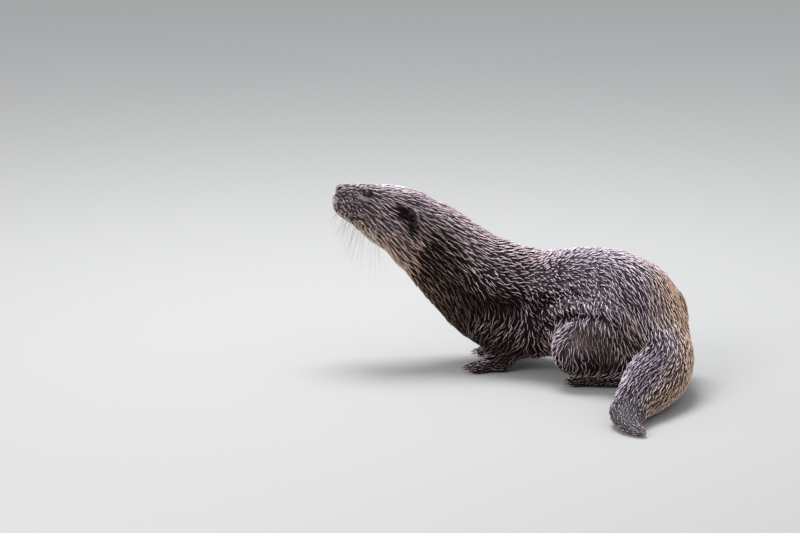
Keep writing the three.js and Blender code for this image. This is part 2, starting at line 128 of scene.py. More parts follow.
def add_shader_node(tree, kind, inputs=None, **settings):
    """A node of a material or group, with values or links for its inputs."""
    made = tree.nodes.new("ShaderNode" + kind)
    for setting, value in settings.items():
        setattr(made, setting, value)
    for name, value in (inputs or {}).items():
        target = made.inputs[name] if isinstance(name, int) else socket_of(made.inputs, name)
        if isinstance(value, bpy.types.NodeSocket):
            tree.links.new(value, target)
        else:
            target.default_value = value
    return made


def calculated(tree, operation, *values, clamp=False):
    """The output of a math node."""
    numbered = dict(enumerate(values))
    return add_shader_node(tree, "Math", numbered, operation=operation, use_clamp=clamp).outputs[0]


def mixed(tree, share, one, other):
    """The output of a colour mix."""
    inputs = {"Factor": share, "A": one, "B": other}
    return socket_of(add_shader_node(tree, "Mix", inputs, data_type="RGBA").outputs, "Result")


floor_bm = bmesh.new()
bmesh.ops.create_grid(floor_bm, x_segments=1, y_segments=1, size=FLOOR_SIZE / 2)
floor = new_piece("floor", floor_bm)
floor_material, _, _ = new_material("floor", Base_Color=FLOOR_COLOUR, Roughness=0.9)
floor.data.materials.append(floor_material)


# The skin: one closed surface under the whole coat, from the muzzle to the end of the tail. It is the
# CAD's flesh grown together, rounded off, and drawn in by the depth of the coat that lies over it.
SIDES = ("left", "right")
LEGS = [f"{leg}_{side}" for leg in ("foreleg", "hindleg") for side in SIDES]
FEET = [f"{foot}_{side}" for foot in ("forefoot", "hindfoot") for side in SIDES]
CLAWS = {foot: [f"claw_{foot.replace('foot', 'leg')}_{n}" for n in range(1, 6)] for foot in FEET}
TRUNK = ["head", "neck", "chest", "belly", "hips", "tail_root", "tail_middle", "tail_tip"]
FLESH = TRUNK + LEGS + FEET
REGIONS = FLESH + ["muzzle", "rump"]  # the head's front and the hips' back have coats of their own
REGION_SPREAD = 12  # rounds that soften the regions' borders
SKIN_GRAIN = 0.0031  # the size of the skin's faces
CUT = 0.0004  # grown over the thin cuts between the nodes
MUZZLE_REACH = 0.047  # from the nose
RUMP_START = 0.128  # behind the middle of the model
# A toe: its radius, its half length and how far it is set back, as shares of the way from the foot's middle
# to the claw's root, and how far it hangs below that way.
TOE_RADIUS = {"forefoot": 0.0062, "hindfoot": 0.0066}
TOE_HALF_LENGTH = 0.5
TOE_SET_BACK = 0.44
TOE_DROP = 0.001
CLAW_ROOT_CORNERS = 4  # the claw's corners nearest to the foot
# How deep the skin lies, and how much it is rounded, in each region.
DEPTH = {
    "muzzle": 0.0013, "head": 0.0026, "neck": 0.0046, "tail_tip": 0.0030, "legs": 0.0038, "feet": 0.0012,
}
DEPTH_OF_TRUNK = 0.0052
ROUNDING = {"muzzle": 0.25, "head": 0.35, "neck": 0.8, "tail_tip": 0.4, "legs": 0.7, "feet": 0.12}
ROUNDS = 44
ROUNDING_LOSS = 0.001  # what the rounding takes off
TAIL_BLEND = (0.075, 0.035)  # how near to the start of the tail it is rounded twice
TAIL_START_PART = 6  # the start of the tail is the sixth of its root that is nearest to the hips
SOLE_HEIGHT = 0.0004
HALFWAY = 0.5  # how far one round of smoothing goes
# The left haunch's forms: each one's line, its reach and how far it stands out, or in if less than
# nothing. The right haunch has the same.
HAUNCH_FORMS = {
    "thigh_edge": (
        [(0.048, 0.066, 0.073), (0.048, 0.062, 0.096), (0.066, 0.047, 0.110), (0.100, 0.018, 0.117),
         (0.131, -0.008, 0.120), (0.153, -0.019, 0.111), (0.164, -0.020, 0.086)], 0.014, 0.0055),
    "above_thigh": (
        [(0.044, 0.056, 0.122), (0.064, 0.034, 0.131), (0.100, 0.006, 0.139), (0.136, -0.016, 0.141)],
        0.013, -0.0026),
    "thigh_hollow": (
        [(0.096, 0.010, 0.074), (0.116, 0.000, 0.072), (0.124, 0.002, 0.048)], 0.026, -0.0090),
    "tail_crease": (
        [(0.140, -0.014, 0.090), (0.134, -0.012, 0.066), (0.124, 0.004, 0.030)], 0.010, -0.0030),
}
# Forms that have no twin on the other side: along the rump's edge and the outer edge of the tail's start,
# the skin lies deeper.
RUMP_FORMS = {
    "rump_left": ([(0.229, 0.070, 0.132), (0.236, 0.070, 0.120), (0.242, 0.070, 0.106)], 0.034, -0.0060),
    "rump_right": ([(0.220, 0.120, 0.144), (0.233, 0.115, 0.124), (0.238, 0.115, 0.108)], 0.036, -0.0068),
    "tail_edge": ([(0.246, 0.010, 0.078), (0.252, 0.000, 0.062), (0.246, -0.040, 0.048)], 0.034, -0.0045),
}
FORM_WAY_SPREAD = 8  # rounds that even out the ways in which the forms stand out
FORM_SPREAD = 2


def vertices_of(node):
    """The corners of a CAD node's triangles."""
    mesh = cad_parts[node].data
    co = np.empty(len(mesh.vertices) * 3)
    mesh.vertices.foreach_get("co", co)
    return co.reshape(-1, 3)


def middle(node):
    """The mean of a CAD node's corners."""
    return vertices_of(node).mean(axis=0)


def add_node(bm, node, grow=0.0):
    """Adds a merged copy of a CAD node to a bmesh, a little larger all round."""
    before = set(bm.verts)
    bm.from_mesh(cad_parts[node].data)
    fresh = [v for v in bm.verts if v not in before]
    bmesh.ops.remove_doubles(bm, verts=fresh, dist=1e-6)
    fresh = [v for v in bm.verts if v not in before]
    bm.normal_update()
    for v in fresh:
        v.co += v.normal * grow


def remeshed(bm, name, grain):
    """The closed surface round all that a bmesh holds, in even faces."""
    rough = new_piece(name, bm)
    remesh = rough.modifiers.new("remesh", "REMESH")
    remesh.mode = "VOXEL"
    remesh.voxel_size = grain
    bpy.context.view_layer.update()
    shown = rough.evaluated_get(bpy.context.evaluated_depsgraph_get())
    mesh = bpy.data.meshes.new_from_object(shown)
    mesh.name = name
    bpy.data.objects.remove(rough)
    return mesh


def by_part(values, other, region):
    """A table's value for a region. It may be under "tail" or "foreleg", or for all legs or feet."""
    group = "legs" if region in LEGS else "feet" if region in FEET else region
    return values.get(region.split("_")[0], values.get(group, other))


class Surface:
    """A mesh's vertices as arrays, with what smoothing and displacing them needs."""

    def __init__(self, mesh):
        self.mesh = mesh
        self.co = np.empty(len(mesh.vertices) * 3)
        mesh.vertices.foreach_get("co", self.co)
        self.co = self.co.reshape(-1, 3)
        self.edges = np.empty(len(mesh.edges) * 2, int)
        mesh.edges.foreach_get("vertices", self.edges)
        self.edges = self.edges.reshape(-1, 2)
        self.degree = np.bincount(self.edges.ravel(), minlength=len(self.co))[:, None]

    def average(self, values):
        """Each vertex's mean of its neighbours' values."""
        one, two = self.edges.T
        n = len(values)
        sums = [np.bincount(one, c[two], n) + np.bincount(two, c[one], n) for c in values.T]
        return np.stack(sums, axis=1) / self.degree

    def spread(self, values, rounds):
        """The values after rounds that each draw them halfway to their neighbours' mean."""
        for _ in range(rounds):
            values = values + HALFWAY * (self.average(values) - values)
        return values

    def relax(self, rounds, share):
        """Smooths the surface, each vertex by its own share."""
        for _ in range(rounds):
            self.co += HALFWAY * share * (self.average(self.co) - self.co)

    def keep_above_floor(self):
        """Lifts to the soles' height what reaches below it."""
        self.co[:, 2] = np.maximum(self.co[:, 2], SOLE_HEIGHT)

    def normals(self):
        """Writes the places back to the mesh and gives its normals."""
        self.mesh.vertices.foreach_set("co", self.co.ravel())
        self.mesh.update()
        out = np.empty(len(self.co) * 3)
        self.mesh.vertex_normals.foreach_get("vector", out)
        return out.reshape(-1, 3)


def unit(vectors):
    """The vectors with a length of one."""
    return vectors / np.maximum(np.linalg.norm(vectors, axis=-1, keepdims=True), 1e-12)


def fade(x, start, end):
    """0 before start and 1 after end, with a smooth rise between."""
    t = np.clip((x - start) / (end - start), 0, 1)
    return t * t * (3 - 2 * t)


toe_roots = {}
flesh_bm = bmesh.new()
for node in FLESH + ["nose_leather"]:
    add_node(flesh_bm, node, CUT)
for foot, claws in CLAWS.items():
    centre = Vector(middle(foot))
    radius = by_part(TOE_RADIUS, None, foot)
    toe_roots[foot] = []
    for claw in claws:
        corners = vertices_of(claw)
        nearest = np.argsort(np.linalg.norm(corners - centre, axis=1))[:CLAW_ROOT_CORNERS]
        root = Vector(corners[nearest].mean(axis=0))
        toe_roots[foot].append(np.array((root.x, root.y, 0)))
        along = root - centre
        along.z = 0
        toe = bmesh.ops.create_uvsphere(flesh_bm, u_segments=12, v_segments=8, radius=1)["verts"]
        stretch = Matrix.Diagonal((radius, radius, along.length * TOE_HALF_LENGTH, 1))
        turn = along.to_track_quat("Z", "Y").to_matrix().to_4x4()
        place = Matrix.Translation(root - along * TOE_SET_BACK - Vector((0, 0, TOE_DROP)))
        bmesh.ops.transform(flesh_bm, matrix=place @ turn @ stretch, verts=toe)

skin_mesh = remeshed(flesh_bm, "skin", SKIN_GRAIN)


def nearest_regions(points):
    """The region that each point lies nearest to, by number."""
    corners, faces, owners = [], [], []
    for number, node in enumerate(FLESH):
        first = len(corners)
        corners.extend(map(tuple, vertices_of(node)))
        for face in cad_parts[node].data.polygons:
            faces.append([first + v for v in face.vertices])
            owners.append(number)
    tree = BVHTree.FromPolygons(corners, faces)
    found = np.array([owners[tree.find_nearest(p)[2]] for p in points])
    nose = middle("nose_leather")
    front = (found == FLESH.index("head")) & (np.linalg.norm(points - nose, axis=1) < MUZZLE_REACH)
    found[front] = REGIONS.index("muzzle")
    found[(found == FLESH.index("hips")) & (points[:, 0] > RUMP_START)] = REGIONS.index("rump")
    return found


def shares(surface, rounds):
    """How far each vertex belongs to each region, with soft borders."""
    whole = np.eye(len(REGIONS))[nearest_regions(surface.co)]
    return surface.spread(whole, rounds)


def of_regions(values, other):
    """One value for each region, from a table."""
    return np.array([by_part(values, other, region) for region in REGIONS])


def gap_to_line(points, line):
    """The distance from each point to a line through some points."""
    best = np.full(len(points), np.inf)
    for a, b in zip(line, line[1:]):
        t = np.clip((points - a) @ (b - a) / max((b - a) @ (b - a), 1e-12), 0, 1)
        best = np.minimum(best, np.linalg.norm(points - a - t[:, None] * (b - a), axis=1))
    return best


def with_line_array(form):
    """A form with its line as an array."""
    line, reach, height = form
    return np.array(line), reach, height


def form_heights(points, forms):
    """How far each point stands out for forms that each have a line, a reach and a height."""
    out = np.zeros(len(points))
    for line, reach, height in forms:
        gap = np.clip(gap_to_line(points, line) / reach, 0, 1)
        out += height * (1 - gap**2) ** 2
    return out


skin = Surface(skin_mesh)
belongs = shares(skin, REGION_SPREAD)
skin.relax(ROUNDS, (belongs @ of_regions(ROUNDING, 1.0))[:, None])
tail_start = vertices_of("tail_root")
tail_start = tail_start[np.argsort(np.linalg.norm(tail_start - middle("hips"), axis=1))]
tail_start = tail_start[: len(tail_start) // TAIL_START_PART].mean(axis=0)
at_tail = fade(np.linalg.norm(skin.co - tail_start, axis=1), *TAIL_BLEND)[:, None]
skin.relax(ROUNDS, at_tail)
loss = ROUNDING_LOSS * (1 + at_tail)
skin.co -= skin.normals() * ((belongs @ of_regions(DEPTH, DEPTH_OF_TRUNK))[:, None] - loss)
skin.keep_above_floor()
hip_left, hip_right = (middle(f"hindleg_{side}") for side in SIDES)
across_hips = unit((hip_left - hip_right) * (1, 1, 0))
haunch_forms = []
for line, reach, height in map(with_line_array, HAUNCH_FORMS.values()):
    from_middle = (line - (hip_left + hip_right) / 2) @ across_hips
    haunch_forms.append((line, reach, height))
    haunch_forms.append((line - 2 * np.outer(from_middle, across_hips), reach, height))
rump_forms = list(map(with_line_array, RUMP_FORMS.values()))
ways = unit(skin.spread(skin.normals(), FORM_WAY_SPREAD))
skin.co += ways * form_heights(skin.co, haunch_forms + rump_forms)[:, None]
skin.co = skin.spread(skin.co, FORM_SPREAD)
skin.keep_above_floor()
skin.normals()


# The finer skin of the face and the toes. Its faces are split, twice on the front of the face, so that
# they can hold the lids, the folds and the lips, and the grooves between the toes.
FINE_REACH = (0.125, 0.062)  # from the nose, for the first and the second split
FINE_EDGE = (0.004, -0.002)  # past each reach: where smoothing begins and where it is full
FINE_ROUNDS = 4
TOE_REACH = 0.03
TOE_GROOVE = (0.0032, -0.0028)  # its reach and its height
# A groove's ends are ahead of the gap between two claws and ahead of the foot's middle, by these shares
# of the way between those.
GROOVE_ENDS = (0.2, 0.25)
FEET_SPREAD = 30  # rounds that soften the borders of the feet


def refined(mesh, centre, reach):
    """Splits the faces whose corners all lie within reach of the centre into four."""
    bm = bmesh.new()
    bm.from_mesh(mesh)
    near = {v for v in bm.verts if (v.co - centre).length < reach}
    edges = [e for e in bm.edges if e.verts[0] in near and e.verts[1] in near]
    bmesh.ops.subdivide_edges(bm, edges=edges, cuts=1, use_grid_fill=True)
    bm.to_mesh(mesh)
    bm.free()


nose_centre = Vector(middle("nose_leather"))
for reach in FINE_REACH:
    refined(skin_mesh, nose_centre, reach)
    skin = Surface(skin_mesh)
    edge = (reach + step for step in FINE_EDGE)
    near = fade(np.linalg.norm(skin.co - np.array(nose_centre), axis=1), *edge)
    skin.relax(FINE_ROUNDS, near[:, None])
    skin.normals()

toe_forms = []
for foot, roots in toe_roots.items():
    centre = middle(foot) * (1, 1, 0)
    refined(skin_mesh, Vector(np.mean(roots, axis=0)), TOE_REACH)
    for one, other in zip(roots, roots[1:]):
        between = (one + other) / 2
        way = between - centre
        ends = np.array([between + GROOVE_ENDS[0] * way, centre + GROOVE_ENDS[1] * way])
        toe_forms.append((ends, *TOE_GROOVE))
skin = Surface(skin_mesh)
belongs = shares(skin, FEET_SPREAD)
in_feet = belongs[:, [REGIONS.index(foot) for foot in FEET]].sum(axis=1)
skin.co += skin.normals() * (in_feet * form_heights(skin.co * (1, 1, 0), toe_forms))[:, None]
skin.keep_above_floor()
skin.normals()


# The face: lids round the eyes, brows, whisker pads with a fold behind them, the line of the mouth, and a
# hollow ahead of each ear. Places are in millimetres behind and above the nose, as the head is pitched.
HEAD_PITCH = math.radians(20)
BACK = np.array([math.cos(HEAD_PITCH), 0, -math.sin(HEAD_PITCH)])
UP = np.array([math.sin(HEAD_PITCH), 0, math.cos(HEAD_PITCH)])
OUTWARD = {"left": np.array([0.0, -1.0, 0.0]), "right": np.array([0.0, 1.0, 0.0])}
MM = 0.001
# Each form's line, its reach and how far it stands out, or in if less than nothing.
FACE_FORMS = {
    "whisker_pad": ([(7, -13), (16, -15)], 13, 1.6),
    "chin": ([(16, -33), (32, -37)], 10, -1.8),
    "mouth": ([(1, -19), (6, -22.5), (18, -26), (31, -25.5), (36, -23)], 2.4, -1.5),
    "upper_lip": ([(8, -20), (19, -23), (30, -22.5)], 3.2, 0.7),
    "pad_fold": ([(22, 15), (26, 6), (30.5, -6), (32, -17)], 3.4, -1.1),
    "cheek_edge": ([(27, 13), (31, 4), (35.5, -7), (37, -17)], 4.0, 1.0),
    "brow": ([(20, 16), (31, 19), (44, 20)], 4.2, 0.5),
    "under_eye": ([(30, 4.5), (38, 4.5)], 4.2, 1.0),
    "temple_ridge": ([(42, 22), (50, 12), (57, 3), (72, -4)], 4.0, 1.1),
    "temple_groove": ([(46, 24), (54, 14), (62, 6), (76, 0)], 3.4, -0.9),
    "ear_hollow": ([(82, 8), (92, 5), (101, 6)], 8.0, -3.6),
    "below_ear": ([(103, -4), (106, -10)], 4.5, -2.0),
    "bridge": ([(5, 7), (12, 9.5)], 8, 1.2),
}
# Whiskers' dark roots in staggered rows on the pads: how many to a side, the first one's place, the gap
# between neighbours, and how much lower each is than the last.
DOT_ROWS = 5
FIRST_DOT = (4, -1)
DOT_GAP = 4.6
DOT_DROP = 0.4
HEAD_REACH = 0.135  # from the nose
HEAD_HALF_WIDTH = (0.012, 0.1)  # about its own, and surely past it
FACE_WAY_SPREAD = 6  # rounds that even out the ways in which the face's forms stand out
NOSE_ROOM = 0.5  # how far the skin draws back in the nose, as a share
NOSE_EDGE = (1.1, 0.96)  # where that begins and is full, in the nose's half sizes
EYE_RADIUS = 5.5 * MM
EYE_OPENING = (5.6 * MM, 4.0 * MM)  # half length and half height
EYE_SLANT = 0.25  # how far the opening is drawn out along a slant
EYE_SOCKET = 16 * MM  # how far round its middle the skin is shaped
EYE_INSET = 2.3 * MM  # how far its middle lies behind that of the CAD's eye, which reaches past the lids
EYE_WAYS = {"outward": 0.86, "back": -0.36, "up": 0.30}
CORNERS_WAY = np.array([1.0, 0, -0.06])  # from the front corner of the eye to the back one
LID = 0.55 * MM  # its thickness
LID_SHARES = (0.4, 0.6)  # of the face's own form and the ball's, where the face stands out past the ball
LID_RIM = (0.82, 1.0)  # its inner and outer edge, in the opening's half sizes
LID_REACH = (1.35, 2.3)  # where the lid ends and the face begins
BEHIND_LID = 3.2 * MM  # how far behind the ball's front the skin lies within the opening
EYE_BACK = -4 * MM  # skin that lies further in than this has no part in the eye
ABOVE_EYE = (-1 * MM, 1 * MM)
BEHIND_EYE = (1 * MM, 4 * MM)
FAR_FROM_EYE = 9.0


def on_head(back, up, side):
    """The place on the skin at the side of the head that lies so far behind and above the nose."""
    level = np.array(nose_centre) + BACK * back * MM + UP * up * MM
    near, far = (Vector(level + OUTWARD[side] * width) for width in HEAD_HALF_WIDTH)
    hit = head_tree.ray_cast(far, Vector(-OUTWARD[side]))[0]
    return np.array(hit or head_tree.find_nearest(near)[0])


def eye_frame(side):
    """The eye's centre and its ways outward, back and up."""
    gaze = unit(EYE_WAYS["outward"] * OUTWARD[side] + EYE_WAYS["back"] * BACK + EYE_WAYS["up"] * UP)
    back = unit(CORNERS_WAY - gaze * gaze[0])
    back = unit(back - gaze * (back @ gaze))
    up = np.cross(back, gaze) * (1 if side == "right" else -1)
    return middle(f"eye_{side}") - gaze * EYE_INSET, gaze, back, up


in_head = np.flatnonzero(np.linalg.norm(skin.co - np.array(nose_centre), axis=1) < HEAD_REACH)
skin_mesh.calc_loop_triangles()
head_tree = BVHTree.FromPolygons(skin.co.tolist(), [list(t.vertices) for t in skin_mesh.loop_triangles])
face_ways = unit(skin.spread(skin.normals(), FACE_WAY_SPREAD)[in_head])
face_forms = [
    (np.array([on_head(back, up, side) for back, up in line]), reach * MM, height * MM)
    for line, reach, height in FACE_FORMS.values() for side in SIDES
]
dot_places = [
    (FIRST_DOT[0] + DOT_GAP * n + DOT_GAP / 2 * (row % 2), FIRST_DOT[1] - DOT_GAP * row - DOT_DROP * n)
    for row in range(DOT_ROWS) for n in range(DOT_ROWS)
]
dots = np.array([on_head(*place, side) for place in dot_places for side in SIDES])
skin.co[in_head] += face_ways * form_heights(skin.co[in_head], face_forms)[:, None]

# Inside the nose the skin draws back, to leave room for the nostrils.
nose_low, nose_high = (np.array(corner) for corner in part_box("nose_leather"))
from_nose = (skin.co - (nose_low + nose_high) / 2) / ((nose_high - nose_low) / 2)
in_nose = fade(np.linalg.norm(from_nose, axis=1), *NOSE_EDGE)[:, None]
skin.co -= NOSE_ROOM * in_nose * from_nose * (nose_high - nose_low) / 2

opening = np.full(len(skin.co), FAR_FROM_EYE)  # 1 at the edge of an eye's opening
over_eye = np.zeros(len(skin.co))  # 1 above an eye and behind it
for side in SIDES:
    centre, gaze, back, up = eye_frame(side)
    rel = skin.co - centre
    near = np.linalg.norm(rel, axis=1) < EYE_SOCKET
    a, b, depth = (rel[near] @ way for way in (back, up, gaze))
    length, height = EYE_OPENING
    ring = np.sqrt((a / length) ** 2 + (b / height) ** 2 + EYE_SLANT * (a / length) * (b / height))
    ball = np.sqrt(np.clip(EYE_RADIUS**2 - a**2 - b**2, 0, None))
    inside = ball - BEHIND_LID
    lid = np.maximum(ball + LID, depth * LID_SHARES[0] + LID_SHARES[1] * (ball + LID))
    target = np.where(ring < 1, inside + (lid - inside) * fade(ring, *LID_RIM), lid)
    share = 1 - fade(ring, *LID_REACH)
    skin.co[near] += gaze * (share * (target - depth))[:, None]
    opening[near] = np.minimum(opening[near], np.where(depth > EYE_BACK, ring, FAR_FROM_EYE))
    over_eye[near] = np.maximum(fade(b, *ABOVE_EYE), fade(a, *BEHIND_EYE))
skin.normals()


# The lie of the coat: back along the spine, sinking down the flanks, and down each leg to its toes.
STATIONS = ["nose_leather"] + TRUNK
CURVE_STEPS = 24
DROOP = {
    "muzzle": 0.3, "head": 0.05, "neck": 0.0, "chest": 0.2, "belly": 0.45, "hips": 0.9, "rump": 0.9,
    "tail_root": 0.35, "tail_middle": 0.1, "tail_tip": 0.0, "legs": 0.0, "feet": 0.0,
}
TOP_DROOP_LOSS = 0.75  # how much less it sinks on top of the back than on the flanks
TOP = (0.0, 0.7)  # how far up the skin faces at the flanks' edge and on top
DROOP_TURN = 0.5  # how much of the way back it loses as it sinks
LEG_PULL = 1.5  # how firmly the hair of a leg follows the leg
LIE_SPREAD = 60
SPINE_BLOCKS = 40


def curve_through(points, steps):
    """A smooth curve through some points."""
    points = [2 * points[0] - points[1], *points, 2 * points[-1] - points[-2]]
    out = []
    for a, b, c, d in zip(points, points[1:], points[2:], points[3:]):
        for t in np.arange(steps) / steps:
            out.append(0.5 * (2 * b + (c - a) * t + (2 * a - 5 * b + 4 * c - d) * t**2
                              + (3 * b - a - 3 * c + d) * t**3))
    return np.array(out)


tail_end = vertices_of("tail_tip")
tail_end = tail_end[np.argmin(tail_end[:, 1])]
spine = curve_through([middle(node) for node in STATIONS] + [tail_end], CURVE_STEPS)
spine_ahead = unit(np.gradient(spine, axis=0))
spine_length = np.concatenate([[0], np.cumsum(np.linalg.norm(np.diff(spine, axis=0), axis=1))])


def along_spine(points):
    """The number of the spine's sample that lies nearest to each point."""
    out = []
    for block in np.array_split(points, SPINE_BLOCKS):
        gaps = ((block[:, None, :] - spine[None]) ** 2).sum(axis=2)
        out.append(np.argmin(gaps, axis=1))
    return np.concatenate(out)


DOWN = np.array([0.0, 0.0, -1.0])
normals = skin.normals()
station = along_spine(skin.co)
droop = (belongs @ of_regions(DROOP, None))[:, None] * (1 - TOP_DROOP_LOSS * fade(normals[:, [2]], *TOP))
lie = (1 - DROOP_TURN * droop) * spine_ahead[station] + droop * DOWN
for leg in LEGS:
    foot = leg.replace("leg", "foot")
    toes = np.mean([middle(claw) for claw in CLAWS[foot]], axis=0)
    ways = {leg: middle(foot) - middle(leg), foot: toes - middle(foot)}
    for region, way in ways.items():
        share = belongs[:, [REGIONS.index(region)]]
        lie += LEG_PULL * share * (unit(way) - lie)
for _ in range(LIE_SPREAD):
    lie = skin.spread(lie, 1)
    lie -= normals * (lie * normals).sum(axis=1, keepdims=True)
    lie = unit(lie)


# The coat's colours: near black between the locks, which is dark wet hair with painted shade, and a pale
# painted sheen along each lock's ridge, which stands in for the sky's reflection on wet hair. It is greyish
# lavender over the back, and tan on the throat, under the flanks and on the outside of the rump and tail.
GAP_COLOUR = (0.0075, 0.0036, 0.0054, 1)
WARM_GAP_COLOUR = (0.013, 0.0064, 0.0036, 1)
SHEEN_COLOUR = (0.93, 0.77, 0.91, 1)
WARM_SHEEN_COLOUR = (1.0, 0.68, 0.50, 1)
PALE_COLOUR = (0.36, 0.32, 0.375, 1)
WARM_PALE_COLOUR = (0.36, 0.25, 0.17, 1)
# Slopes and offsets: how sharply the painted sheen keeps to a lock's ridge, how it grows towards the tip,
# how it differs from lock to lock, how pale hair follows the ridge, and how rough the hair is.
SHEEN_ON_RIDGE = (2.8, -0.65)
SHEEN_ALONG = (0.75, 0.5)
SHEEN_LUCK = (0.7, 0.6)
PALE_ON_RIDGE = (0.4, 0.5)
ROUGHNESS = (0.14, 0.28)
PALE_ROUGHNESS = 0.2
WETNESS = 1.3


def coat_colour_group():
    """Colour and roughness of the wet coat, with painted sheen, from a lock's own shares, markings and
    painted light.
    """
    group = bpy.data.node_groups.new("wet coat colour", "ShaderNodeTree")
    for name in ("Ridge", "Along", "Chance", "Hair", "Warm", "Pale", "Shade"):
        group.interface.new_socket(name, in_out="INPUT", socket_type="NodeSocketFloat")
    group.interface.new_socket("Color", in_out="OUTPUT", socket_type="NodeSocketColor")
    group.interface.new_socket("Roughness", in_out="OUTPUT", socket_type="NodeSocketFloat")
    group.interface.new_socket("Wet", in_out="OUTPUT", socket_type="NodeSocketFloat")
    given = group.nodes.new("NodeGroupInput").outputs
    dark = mixed(group, given["Warm"], GAP_COLOUR, WARM_GAP_COLOUR)
    sheen = mixed(group, given["Warm"], SHEEN_COLOUR, WARM_SHEEN_COLOUR)
    crest = calculated(group, "MULTIPLY_ADD", given["Ridge"], *SHEEN_ON_RIDGE, clamp=True)
    length = calculated(group, "MULTIPLY_ADD", given["Along"], *SHEEN_ALONG)
    luck = calculated(group, "MULTIPLY_ADD", given["Chance"], *SHEEN_LUCK)
    amount = calculated(group, "MULTIPLY", calculated(group, "MULTIPLY", crest, length), luck)
    amount = calculated(group, "MULTIPLY", amount, given["Shade"], clamp=True)
    amount = calculated(group, "MULTIPLY", amount, given["Hair"])
    # the painted sheen over the dark hair
    wet = mixed(group, amount, dark, sheen)
    pale_ridge = calculated(group, "MULTIPLY_ADD", given["Ridge"], *PALE_ON_RIDGE)
    pale_share = calculated(group, "MULTIPLY", given["Pale"], pale_ridge)
    pale = mixed(group, given["Warm"], PALE_COLOUR, WARM_PALE_COLOUR)
    colour = mixed(group, pale_share, wet, pale)
    rough = calculated(group, "MULTIPLY_ADD", given["Chance"], *ROUGHNESS)
    rough = calculated(group, "MULTIPLY_ADD", given["Pale"], PALE_ROUGHNESS, rough)
    out = group.nodes.new("NodeGroupOutput")
    group.links.new(colour, out.inputs["Color"])
    group.links.new(rough, out.inputs["Roughness"])
    group.links.new(calculated(group, "MULTIPLY", amount, WETNESS, clamp=True), out.inputs["Wet"])
    return group


coat_colour = coat_colour_group()
COAT_GLOSS = {"Specular_IOR_Level": 0.06, "Coat_Roughness": 0.22}
# A lock's hairs: how many across it, how far apart the pattern puts two locks, and the slopes and
# offsets of their contrast and of the sheen that they carry.
HAIRS_ACROSS = 8.0
LOCKS_APART = 60
HAIR_CONTRAST = (3.4, -1.15)
HAIR_SHARE = (0.85, 0.38)
HAIR_BUMP = (0.6, 0.0002)  # strength and depth
# The skin's streaks: their number to a metre along the body and across it, their contrast, the number of
# patches to a metre, and the place along a lock whose painted sheen they have.
STREAKS = (90, 620, 620)
STREAK_CONTRAST = (3.2, -1.15)
STREAK_BUMP = (0.5, 0.0006)  # strength and depth
PATCHES = 160
SKIN_ALONG = 0.55


def parts_of(tree, attribute):
    """The three values of a vector attribute."""
    vector = add_shader_node(tree, "Attribute", attribute_name=attribute).outputs["Vector"]
    return add_shader_node(tree, "SeparateXYZ", {"Vector": vector}).outputs


def coat_colour_node(tree, ridge, along, luck, hair):
    """The wet coat's colour in a material, under the piece's own markings and painted light."""
    warm, pale, shade = parts_of(tree, "markings_and_light")
    given = {"Ridge": ridge, "Along": along, "Chance": luck, "Hair": hair,
             "Warm": warm, "Pale": pale, "Shade": shade}
    return add_shader_node(tree, "Group", given, node_tree=coat_colour).outputs


def link_coat(tree, shader, colour, height, bump):
    """Feeds a shader with the coat's colour, roughness and wetness, and with hairs of this height."""
    strength, depth = bump
    tree.links.new(colour["Color"], shader.inputs["Base Color"])
    tree.links.new(colour["Roughness"], shader.inputs["Roughness"])
    tree.links.new(colour["Wet"], shader.inputs["Coat Weight"])
    bump = add_shader_node(tree, "Bump", {"Height": height, "Strength": strength, "Distance": depth})
    tree.links.new(bump.outputs[0], shader.inputs["Normal"])


def coat_material():
    """Locks of wet hair: fine hairs along each lock, in the coat's colours and painted sheen."""
    material, tree, shader = new_material("wet coat", **COAT_GLOSS)
    ridge, along, luck = parts_of(tree, "lock")
    hairs = {"X": calculated(tree, "MULTIPLY", ridge, HAIRS_ACROSS), "Y": along}
    hairs["Z"] = calculated(tree, "MULTIPLY", luck, LOCKS_APART)
    place = add_shader_node(tree, "CombineXYZ", hairs).outputs[0]
    hair = add_shader_node(tree, "TexNoise", {"Vector": place, "Scale": 1.0, "Detail": 2}).outputs["Fac"]
    hair = calculated(tree, "MULTIPLY_ADD", hair, *HAIR_CONTRAST, clamp=True)
    share = calculated(tree, "MULTIPLY_ADD", hair, *HAIR_SHARE)
    colour = coat_colour_node(tree, ridge, along, luck, share)
    link_coat(tree, shader, colour, hair, HAIR_BUMP)
    return material


def skin_material():
    """Short wet hair that lies flat: fine streaks along the body, with the coat's own colours and painted
    sheen.
    """
    material, tree, shader = new_material("short wet hair", **COAT_GLOSS)
    place = add_shader_node(tree, "Attribute", attribute_name="unbent").outputs["Vector"]
    place_in_streaks = add_shader_node(tree, "Mapping", {"Vector": place, "Scale": STREAKS}).outputs[0]
    streaks = {"Vector": place_in_streaks, "Scale": 1.0, "Detail": 3}
    fine = add_shader_node(tree, "TexNoise", streaks).outputs["Fac"]
    crest = calculated(tree, "MULTIPLY_ADD", fine, *STREAK_CONTRAST, clamp=True)
    patches = {"Vector": place, "Scale": PATCHES, "Detail": 2}
    patches = add_shader_node(tree, "TexNoise", patches).outputs["Fac"]
    colour = coat_colour_node(tree, crest, SKIN_ALONG, patches, 1.0)
    link_coat(tree, shader, colour, crest, STREAK_BUMP)
    return material


def set_vectors(mesh, title, values):
    """Gives a mesh's vertices a vector attribute."""
    attribute = mesh.attributes.new(title, "FLOAT_VECTOR", "POINT")
    attribute.data.foreach_set("vector", np.ascontiguousarray(values, np.float32).ravel())


# Places along the body and round it, as if it were straight, for the streaks and the baked map.
sideways = unit(np.cross(spine_ahead, [0, 0, 1]))
upward = np.cross(sideways, spine_ahead)
from_spine = skin.co - spine[station]
unbent = np.stack([spine_length[station], (from_spine * sideways[station]).sum(axis=1),
                   (from_spine * upward[station]).sum(axis=1)], axis=1)
